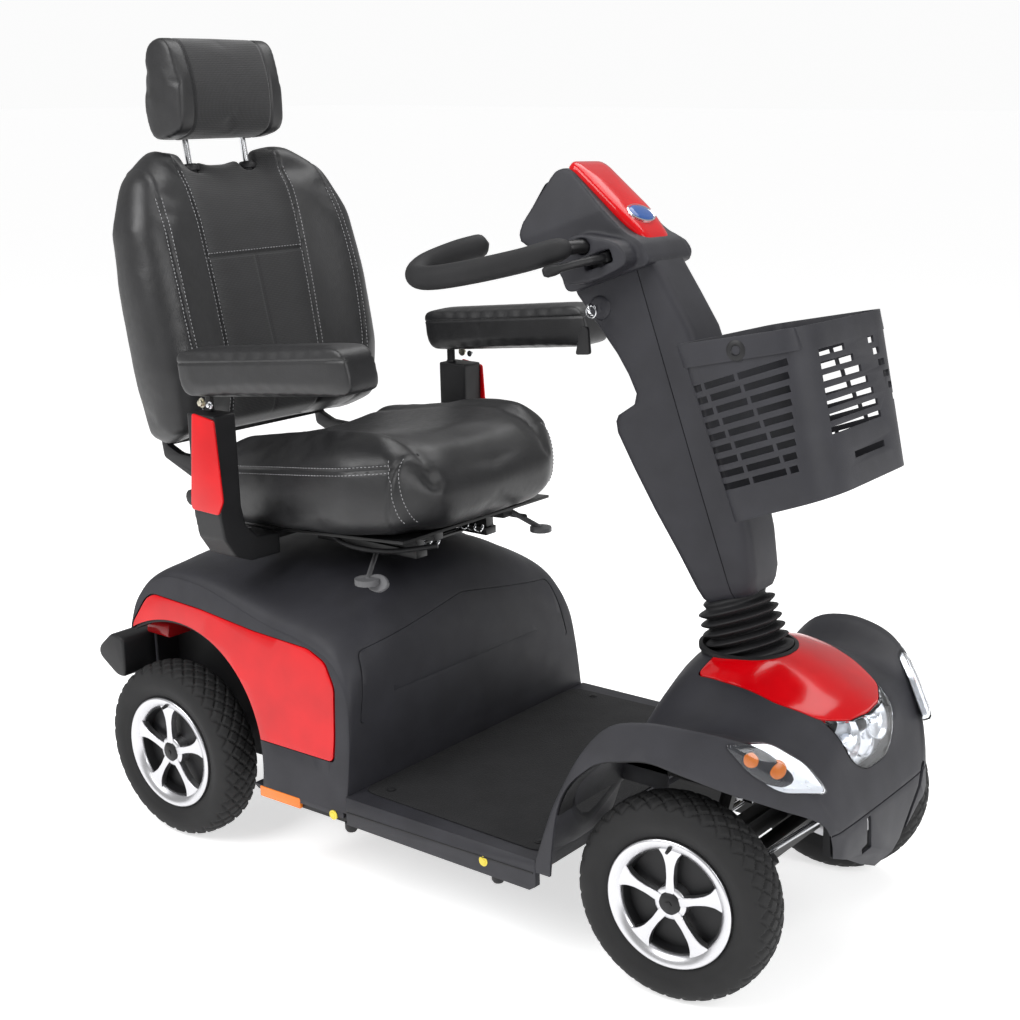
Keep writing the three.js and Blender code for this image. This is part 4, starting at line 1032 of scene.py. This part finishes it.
def head():
    shell = remoulded(copied("tiller_head_moulding", "tiller_head"), 2.4, 9)
    part(shell, "tiller", CHARCOAL, ["tiller_head"], 60)
    low = Vector((31, 0, 648))
    high = Vector((-42, 0, 776))
    up = (high - low).normalized()
    out = Vector((up.z, 0, -up.x))
    at = Matrix((Vector((0, 1, 0)), up, out)).transposed().to_4x4()
    at.translation = low
    at = TILLER @ at
    length = (high - low).length
    plan = rounded([(-38, -26), (38, -26), (50, 30), (49, length + 8), (-49, length + 8), (-50, 30)], 18, 8)
    rings = []
    for scale, h in [(1, -2), (1, 5), (0.985, 8), (0.95, 10), (0.8, 12), (0.45, 13.4), (0.05, 13.8)]:
        ring = scaled(plan, scale, (0, length / 2))
        rings.append([(u, v, h + 2 - 0.0006 * (v - length / 2) ** 2) for u, v in ring])
    part(loft("head_panel_cap", rings, at), "tiller", RED, ["head_panel"])
    flat = Matrix.Rotation(math.radians(-2), 4, "X") @ Matrix.Diagonal((2.1, 1.15, 1, 1))
    oval = at @ Matrix.Translation((0, 28, 14.2)) @ flat
    dome = [(0, 3.2), (9, 2.8), (14, 1.6), (15.5, 0), (15.5, -3), (0, -3)]
    part(lathe("oval_badge", dome, 48, oval), "tiller", BADGE)
    band = [(15, -3), (17.4, -3), (17.4, 0.6), (16.2, 1.8), (15, 0.6)]
    part(lathe("oval_badge_rim", band, 48, oval), "tiller", CHROME)
    dash_at = TILLER @ place(-112, 0, 748.5, -40)
    outline = rounded([(-34, -58), (30, -52), (30, 52), (-34, 58)], 10)
    plate = run("dash_plate", outline, 0.2, 1.6, "Z", dash_at)
    part(soften(plate, 0.5), "tiller", FRAME)
    for i, (u, v) in enumerate([(14, -30), (14, -18), (14, 18), (14, 30), (-14, 40)]):
        outline = rounded([(u - 5, v - 4), (u + 5, v - 4), (u + 5, v + 4), (u - 5, v + 4)], 2)
        key = run(f"dash_button_{i}", outline, 1.4, 3.4, "Z", dash_at)
        part(soften(key, 0.6), "tiller", AMBER if i == 4 else CAST)


LOOP = [
    (-14, 42, 640),
    (-22, 90, 646),
    (-40, 140, 650),
    (-88, 188, 649),
    (-157, 224, 655),
    (-222, 234, 666),
    (-262, 214, 681),
    (-266, 176, 697),
    (-232, 132, 705),
    (-205, 94, 706),
]


def handlebars():
    for side, s in SIDES:
        line = through([(x, s * y, z) for x, y, z in LOOP], 8)
        bar = tube("handlebar_tube_" + side, line, 11, 20, TILLER)
        part(bar, "tiller", FRAME, ["handlebar_" + side])
        held = line[14:] + [[a + 0.12 * (a - b) for a, b in zip(line[-1], line[-9])]]
        grip = tube("grip_foam_" + side, held, round_ended(len(held), 18.5, 4), 28, TILLER)
        part(grip, "tiller", FOAM, ["grip_" + side])
        lever = remoulded(copied("throttle_paddle_" + side, "throttle_lever_" + side), 1.5, 5)
        part(lever, "thumb_" + side, BLACK, ["throttle_lever_" + side], 60)
        tip = TILLER @ aimed((-50, s * 178, 621), (-0.68, s * 0.72, 0))
        boot = [(0, 12), (6, 10.5), (9, 5), (9, -6), (7.5, -14), (0, -14)]
        part(lathe("throttle_tip_" + side, boot, 28, tip), "thumb_" + side, RUBBER)


# ---------- basket ----------
TUB_LOW = (188, 118, 290, 170, 0)
TUB_HIGH = (430, 114, 318, 176, 30)


def tub_ring(values, share, grow):
    z, x0, x1, half, drop = values
    plan = [(x0 - grow, half + grow), (x1 - 30 + grow, half + grow), (x1 + grow, half - 46 + grow)]
    plan += [(x, -y) for x, y in reversed(plan)]
    return [(x, y, z + share + drop * ((x1 - x) / (x1 - x0))) for x, y in rounded(plan, 34, 8)]


def blended(t):
    return tuple(a + (b - a) * t for a, b in zip(TUB_LOW, TUB_HIGH))


def tub_form(name, grow, low=0.0, high=1.0, floor=0.0):
    """The basket's outer form, grown outwards, between two shares of its height."""
    layers = [low + (high - low) * i / 8 for i in range(9)]
    return loft(name, [tub_ring(blended(t), floor if t == low else 0, grow) for t in layers], TILLER)


SLOT_ROWS = 9
SLOT_PITCH = 18.6
SLOT_TALL = 10
SLOT_TOP = 385
FRONT_ROWS = 7


def side_slots(row):
    """Where the side's three columns of slots start and end, in a row counted from the top."""
    first_rib = 143 + 4.0 * row
    second_rib = 199 + 4.6 * row
    return [(125, first_rib - 3), (first_rib + 3, second_rib - 3), (second_rib + 3, 280 - 3.6 * row)]


def front_slots(row):
    """The front's slots in a row: one that lengthens downwards, and a short one beyond a slanted band."""
    spans = [(-125, -40 + 95 * (1 - (1 - row / 6) ** 1.8))]
    if row < 6:
        spans.append((52 + 13 * row, 74 + 14.5 * row))
    return spans


def basket():
    shell = carve(tub_form("basket_tub", 0), [tub_form("core", -4, 0, 1.08, 5)])
    slots = []
    for row in range(SLOT_ROWS):
        low = SLOT_TOP - row * SLOT_PITCH
        for x0, x1 in side_slots(row):
            for y in (-300, 120):
                slots.append(box("slot", (x0, y, low), (x1, y + 180, low + SLOT_TALL), TILLER))
        if row < FRONT_ROWS:
            for y0, y1 in front_slots(row):
                slots.append(box("slot", (284, y0, low), (420, y1, low + SLOT_TALL), TILLER))
    last = SLOT_TOP - (SLOT_ROWS - 0.6) * SLOT_PITCH
    slots.append(box("slot", (284, -66, last), (420, 50, last + SLOT_TALL), TILLER))
    carve(shell, [merge("slots", slots)])
    band = carve(tub_form("basket_band", 3.2, 0.87, 1.0), [tub_form("core", -2, 0.8, 1.1)])
    carve(band, [box("front", (300, -300, 300), (500, 300, 600), TILLER)])
    hook = box("hook", (88, -40, 290), (118, 40, 400), TILLER)
    part(soften(shell, 0.8), "carrier", CHARCOAL, ["basket"])
    part(soften(band, 1.2), "carrier", CHARCOAL)
    part(soften(hook, 3, 3), "carrier", CHARCOAL).name = "basket_hook"
    for side, s in SIDES:
        at = TILLER @ aimed((212, s * 176, 426), (0, s, 0))
        grommet = [(0, 1), (5, 1), (8, 4.5), (13, 4.5), (16, 2), (16, -4), (0, -4)]
        part(lathe("basket_grommet_" + side, grommet, 36, at), "carrier", BLACK)


# ---------- padding ----------
SWELL_FRAMES = 20


def swell(obj, travel, pressure, still=None):
    """Swells a pad by cloth simulation. No point moves further than travel, in millimetres."""
    rest = [v.co.copy() for v in obj.data.vertices]
    if still is not None:
        group = obj.vertex_groups.new(name="still")
        group.add([v.index for v in obj.data.vertices if still(v.co)], 1.0, "REPLACE")
    skin = obj.modifiers.new("skin", "CLOTH")
    settings = skin.settings
    settings.use_pressure = True
    settings.uniform_pressure_force = pressure
    settings.effector_weights.gravity = 0
    settings.tension_stiffness = 20
    settings.compression_stiffness = 20
    settings.bending_stiffness = 8
    if still is not None:
        settings.vertex_group_mass = "still"
    skin.point_cache.frame_start = 1
    skin.point_cache.frame_end = SWELL_FRAMES
    for step in range(1, SWELL_FRAMES + 1):
        bpy.context.scene.frame_set(step)
    settle(obj)
    obj.vertex_groups.clear()
    for v, before in zip(obj.data.vertices, rest):
        moved = v.co - before
        if moved.length > travel * MM:
            v.co = before + moved.normalized() * travel * MM
    bpy.context.scene.frame_set(1)
    taut = obj.modifiers.new("taut", "SMOOTH")
    taut.factor = 0.5
    taut.iterations = 8
    return settle(obj)


def refined(obj):
    step = obj.modifiers.new("finer", "SUBSURF")
    step.levels = 1
    step.render_levels = 1
    return settle(obj)


def shape(obj, at, move):
    """Moves every point by a rule that works in a frame, in millimetres."""
    inverse = at.inverted()
    for v in obj.data.vertices:
        p = inverse @ (v.co / MM)
        v.co = MM * (at @ move(p))
    return obj


def dent(distance, width, depth):
    """How deep a soft groove is, at a distance from its middle."""
    return depth * math.exp(-((distance / width) ** 2))


STITCH_GAP = 7.0
STITCH_LENGTH = 4.6
STITCH_R = 0.65
STITCH_LIFT = 0.5


def stitched(name, obj, at, lines, direction, body):
    """Thread along lines laid on a pad's surface: each line is dropped onto it along a direction."""
    graph = bpy.context.evaluated_depsgraph_get()
    tree = BVHTree.FromObject(obj, graph)
    ray = (at.to_3x3() @ Vector(direction)).normalized()
    rows = []
    for line in lines:
        dropped = []
        for point in through(line, 12):
            start = MM * (at @ Vector(point))
            hit, normal, _, _ = tree.ray_cast(start, ray)
            if hit is not None:
                dropped.append((hit / MM, normal))
        travelled = 0.0
        for (a, up), (b, _) in zip(dropped, dropped[1:]):
            span = (b - a).length
            while travelled < span:
                here = a + (b - a) * (travelled / max(span, 1e-6))
                along = (b - a).normalized()
                stitch = []
                for k in range(5):
                    rise = up * (STITCH_LIFT * (1 - (k / 2 - 1) ** 2))
                    stitch.append(here + along * (k * STITCH_LENGTH / 4 - STITCH_LENGTH / 2) + rise)
                rows.append(tube("stitch", stitch, round_ended(5, STITCH_R, 1), 6))
                travelled += STITCH_GAP
            travelled -= span
    return part(merge(name, rows), body, THREAD)


def tint(obj, at, materials, choose):
    """Gives each face one of the materials, by its middle in a frame."""
    obj.data.materials.clear()
    for material in materials:
        obj.data.materials.append(material)
    inverse = at.inverted()
    for face in obj.data.polygons:
        face.material_index = choose(inverse @ (face.center / MM))


def seat_shape(p):
    """Dishes the top, raises the two side bolsters and rounds the front edge down."""
    top = min(1, max(0, (p.z - 60) / 80))
    across = abs(p.y) / 240
    length = min(1, max(0, (p.x + 190) / 400))
    dish = -16 * max(0, 1 - (across / 0.72) ** 2) * (0.5 + 0.5 * math.sin(math.pi * length))
    bolster = 13 * math.exp(-(((across - 0.83) / 0.16) ** 2)) * (0.35 + 0.65 * length)
    waterfall = -12 * max(0, (p.x - 190) / 70) ** 2
    channel = dent(abs(p.y) - 152, 7, -5) if p.z > 100 else 0
    return Vector((p.x, p.y, p.z + top * (dish + bolster + waterfall + channel)))


def seat():
    pad = remoulded(copied("seat_pad", "seat_cushion"), 7, 22)
    shape(pad, SEAT, seat_shape)
    floor = 22 * MM + 0.58
    swell(pad, 9, 3.0, lambda p: p.z < floor)
    refined(pad)
    edge = 128

    def crease(p):
        side = dent(p.z - edge - 0.05 * p.x, 3.2, 3.5) if abs(p.y) > 190 and p.x < 205 else 0
        corner = dent(p.x - 206 + 0.15 * (edge - p.z), 3.2, 3.5) if abs(p.y) > 150 and p.z < edge + 40 else 0
        pull = max(side, corner)
        inward = Vector((p.x * 0.35, p.y, 0)).normalized()
        return p - inward * pull

    shape(pad, SEAT, crease)
    part(pad, "seat", LEATHER, ["seat_cushion"], 70)
    for side, s in SIDES:
        rows = []
        for shift in (-6, 6):
            rows.append([(x, s * 300, edge + 0.05 * x + shift) for x in (-215, -140, -60, 20, 100, 170, 198)])
        stitched("seat_side_thread_" + side, pad, SEAT, rows, (0, -s, 0), "seat")
        rows = []
        for shift in (-6, 6):
            rows.append([(206 + shift + 0.15 * (edge - z), s * 300, z) for z in (150, 128, 100, 70, 44)])
        stitched("seat_corner_thread_" + side, pad, SEAT, rows, (0, -s, 0), "seat")


SEAM_LOW = 114  # half-width of the backrest's middle panel low down
SEAM_HIGH = 122
LUMBAR_SEAM = 388  # height of the seam across the middle panel
BACK_FACE = -66  # the backrest's front face lies ahead of this
HEAD_SEAM = 92  # half-distance between the headrest's two seams


def back_seam(z):
    """Half-width of the middle panel, at a height."""
    return SEAM_LOW + (SEAM_HIGH - SEAM_LOW) * (z - 100) / 450


def wing_seam(z):
    """Half-distance between the seams of the two wings, at a height."""
    return 217 - 0.00035 * (z - 330) ** 2


def back_shape(p):
    """Fills the wings and the lumbar of the backrest, and dips its top between the rods."""
    front = min(1, max(0, (p.x + 70) / 40))
    across = abs(p.y)
    wing = 8 * math.exp(-(((across - 205) / 45) ** 2)) * math.exp(-(((p.z - 300) / 190) ** 2))
    lumbar = 6 * math.exp(-(((p.z - 190) / 80) ** 2)) * max(0, 1 - (across / 110) ** 2)
    lowered = max(0, p.z - 500) / 88 * 22 * math.exp(-((across / 62) ** 4))
    return Vector((p.x + front * (wing + lumbar), p.y * (1 + 0.012 * front), p.z - lowered))


def backrest():
    pad = remoulded(copied("backrest_pad", "backrest_cushion"), 7, 30)
    shape(pad, BACK, back_shape)
    inverse = BACK.inverted()
    swell(pad, 8, 3.0, lambda p: (inverse @ (p / MM)).x < -80)
    refined(pad)

    def crease(p):
        if p.x < BACK_FACE:
            return p
        pull = dent(abs(p.y) - back_seam(p.z), 3, 4)
        if abs(p.y) < back_seam(p.z):
            pull = max(pull, dent(p.z - LUMBAR_SEAM, 3, 3.5))
            pull = max(pull, dent(p.y, 2.5, 1.2) if p.z < LUMBAR_SEAM else 0)
        pull = max(pull, dent(abs(p.y) - wing_seam(p.z), 3, 3.2))
        return Vector((p.x - pull, p.y, p.z))

    shape(pad, BACK, crease)
    part(pad, "back", LEATHER, ["backrest_cushion"], 70)
    tint(pad, BACK, [LEATHER, FABRIC], lambda p: int(p.x > BACK_FACE and abs(p.y) < back_seam(p.z)))
    heights = (110, 180, 260, 340, 420, 500, 545)
    rows = []
    for _, s in SIDES:
        rows += [[(160, s * (back_seam(z) + shift), z) for z in heights] for shift in (-5, 6)]
        rows += [[(160, s * (wing_seam(z) + shift), z) for z in heights[:-1]] for shift in (-6, 6)]
    rows.append([(160, y, LUMBAR_SEAM + 6) for y in (-112, -60, 0, 60, 112)])
    stitched("backrest_thread", pad, BACK, rows, (-1, 0, 0), "back")


def headrest():
    pad = remoulded(copied("headrest_cushion", "headrest_pad"), 4, 12)
    swell(pad, 5, 3.0)
    refined(pad)

    def crease(p):
        pull = dent(abs(p.y) - HEAD_SEAM, 2.6, 3)
        middle = Vector((-28, p.y, 690))
        return p + (middle - p).normalized() * pull

    shape(pad, BACK, crease)
    part(pad, "head_support", LEATHER, ["headrest_pad"], 70)
    tint(pad, BACK, [LEATHER, FABRIC], lambda p: int(abs(p.y) < HEAD_SEAM and p.x > -50))
    for side, s in SIDES:
        sleeve = [(6.4, 0), (17, 0), (17, 6), (12, 12), (6.4, 12)]
        at = BACK @ place(-51, s * 69, 548)
        part(lathe("rod_sleeve_" + side, sleeve, 32, at), "back", BLACK)


def armrests():
    for side, s in SIDES:
        at = place(-392, s * 310, 838, -6)
        pad = remoulded(copied("armrest_cushion_" + side, "armrest_pad_" + side), 3.5, 10)
        swell(pad, 3, 2.0)
        refined(pad)

        def crease(p):
            pull = dent(p.z - 58, 1.8, 2.2)
            return Vector((p.x, p.y - math.copysign(pull, p.y), p.z)) if abs(p.y) > 20 else p

        shape(pad, at, crease)
        part(pad, "arm_" + side, LEATHER, ["armrest_pad_" + side], 70)
        post = remoulded(copied("armrest_bracket_" + side, "armrest_post_" + side), 2.2, 6)
        part(post, "seat", BLACK, ["armrest_post_" + side], 60)
        insert = [(-396, 817), (-341, 809), (-331, 664), (-345, 638), (-413, 640), (-415, 652)]
        outline = rounded(scaled(insert, 0.95, (-374, 728)), 5)
        plate = side_run("armrest_insert_" + side, outline, s, 344.5, 349)
        part(soften(plate, 1.5, 3), "seat", RED)
        hex_bolt("post_bolt_a_" + side, (-384, s * 333, 829), (0, s, 0), 6, "seat")
        hex_bolt("post_bolt_b_" + side, (-364, s * 333, 827), (0, s, 0), 4.5, "seat", CHROME)


# ---------- seat fittings ----------
def fittings():
    for side, s in SIDES:
        hex_bolt("recline_bolt_" + side, (-530, s * 214, 676), (0, s, 0), 9, "seat")
        pin = [(0, 16), (6, 16), (7, 14), (7, 0), (0, 0)]
        at = aimed((-508, s * 212, 664), (0, s, 0))
        part(lathe("recline_pin_" + side, pin, 24, at), "seat", CHROME)
        for i, x in enumerate((-360, -190)):
            hex_bolt(f"runner_bolt_{side}_{i}", (x, s * 108, 578), (0, s, 0), 6, "seat", CHROME)
        line = [
            (-250 + i * 1.6, s * 60 + 7 * math.cos(i * 0.6), 566 + 7 * math.sin(i * 0.6)) for i in range(90)
        ]
        part(tube("slide_spring_" + side, line, 1.3, 6), "seat", CHROME)
        cable = [(-300, s * 150, 588), (-220, s * 178, 574), (-140, s * 160, 570), (-60, s * 120, 584)]
        part(tube("seat_strap_" + side, through(cable, 10), 4.5, 10), "seat", RUBBER)
    paddle = [(-4, -13), (26, -17), (44, 0), (26, 17), (-4, 13)]
    at = place(-122, -222, 534) @ Matrix.Rotation(math.radians(60), 4, "X")
    plate = run("swivel_paddle", rounded(paddle, 14), -4, 4, "Z", at)
    part(soften(plate, 2.5, 3), "swivel_release", GREY)


# ---------- what stays from the CAD ----------
CAD_LOOKS = {
    "charcoal": CHARCOAL,
    "black": BLACK,
    "red": RED,
    "steel": CHROME,
    "frame": FRAME,
    "rubber": RUBBER,
    "tyre": TYRE,
    "rim": MACHINED,
    "upholstery": LEATHER,
    "clear": LENS,
    "amber": AMBER,
    "silver": CAST,
}
GREY_LEVERS = ("swivel_lever", "slide_lever")


def dress_cad():
    """Gives the CAD nodes that still show their materials and eased edges."""
    slots = {row["node"]: row["material_slot"] for row in frame["record"]["subparts"]}
    for name, obj in frame["nodes"].items():
        if obj.hide_render:
            continue
        obj.data.materials.clear()
        obj.data.materials.append(GREY if name in GREY_LEVERS else CAD_LOOKS[slots[name]])
        smooth(obj, 35)
        weld = obj.modifiers.new("weld", "WELD")
        weld.merge_threshold = 1e-5
        ease = obj.modifiers.new("ease", "BEVEL")
        ease.width = 0.6 * MM
        ease.segments = 2
        ease.limit_method = "ANGLE"


# ---------- camera, light and floor ----------
CAMERA_AT = (1.7335, -2.1286, 1.3364)
CAMERA_YAW = math.radians(35.03)
CAMERA_PITCH = math.radians(16.31)


def camera():
    data = bpy.data.cameras.new("camera")
    data.lens = 57.37
    data.sensor_width = 36
    data.shift_x = -0.1103
    data.shift_y = 0.0514
    made = linked("camera", data)
    level = math.cos(CAMERA_PITCH)
    ahead = Vector((-math.sin(CAMERA_YAW) * level, math.cos(CAMERA_YAW) * level, -math.sin(CAMERA_PITCH)))
    made.location = CAMERA_AT
    made.rotation_euler = ahead.to_track_quat("-Z", "Y").to_euler()
    bpy.context.scene.camera = made


def area_light(name, at, target, size, power):
    data = bpy.data.lights.new(name, "AREA")
    data.shape = "SQUARE"
    data.size = size
    data.energy = power
    made = linked(name, data)
    made.location = at
    made.rotation_euler = (Vector(target) - Vector(at)).to_track_quat("-Z", "Y").to_euler()


def studio():
    area_light("key_light", (-0.8, -2.6, 3.0), (0, 0, 0.5), 2.2, 95)
    area_light("front_light", (3.6, -0.6, 2.2), (0.2, 0, 0.5), 2.0, 60)
    area_light("top_light", (0.2, 1.2, 3.6), (0, 0, 0.6), 2.6, 70)
    world = bpy.data.worlds.new("studio")
    world.use_nodes = True
    sky = world.node_tree.nodes["Background"]
    sky.inputs["Color"].default_value = (1, 1, 1, 1)
    seen = world.node_tree.nodes.new("ShaderNodeLightPath")
    level = world.node_tree.nodes.new("ShaderNodeMapRange")
    level.inputs["To Min"].default_value = 0.42
    level.inputs["To Max"].default_value = 0.97
    world.node_tree.links.new(seen.outputs["Is Camera Ray"], level.inputs["Value"])
    world.node_tree.links.new(level.outputs["Result"], sky.inputs["Strength"])
    bpy.context.scene.world = world
    bpy.context.scene.view_settings.view_transform = "Standard"
    floor = solid("floor", [(-9e4, -9e4, 0), (9e4, -9e4, 0), (9e4, 9e4, 0), (-9e4, 9e4, 0)], [(0, 1, 2, 3)])
    paint = new_material("floor_paint", (0.85, 0.85, 0.85), 0.9, Emission_Strength=0.62)
    paint.node_tree.nodes["Principled BSDF"].inputs["Emission Color"].default_value = (1, 1, 1, 1)
    floor.data.materials.append(paint)


camera()
studio()
rear_body()
bumper()
front_body()
lamps()
deck()
wheels()
suspension()
bellows()
column()
head()
handlebars()
basket()
seat()
backrest()
headrest()
armrests()
fittings()
dress_cad()
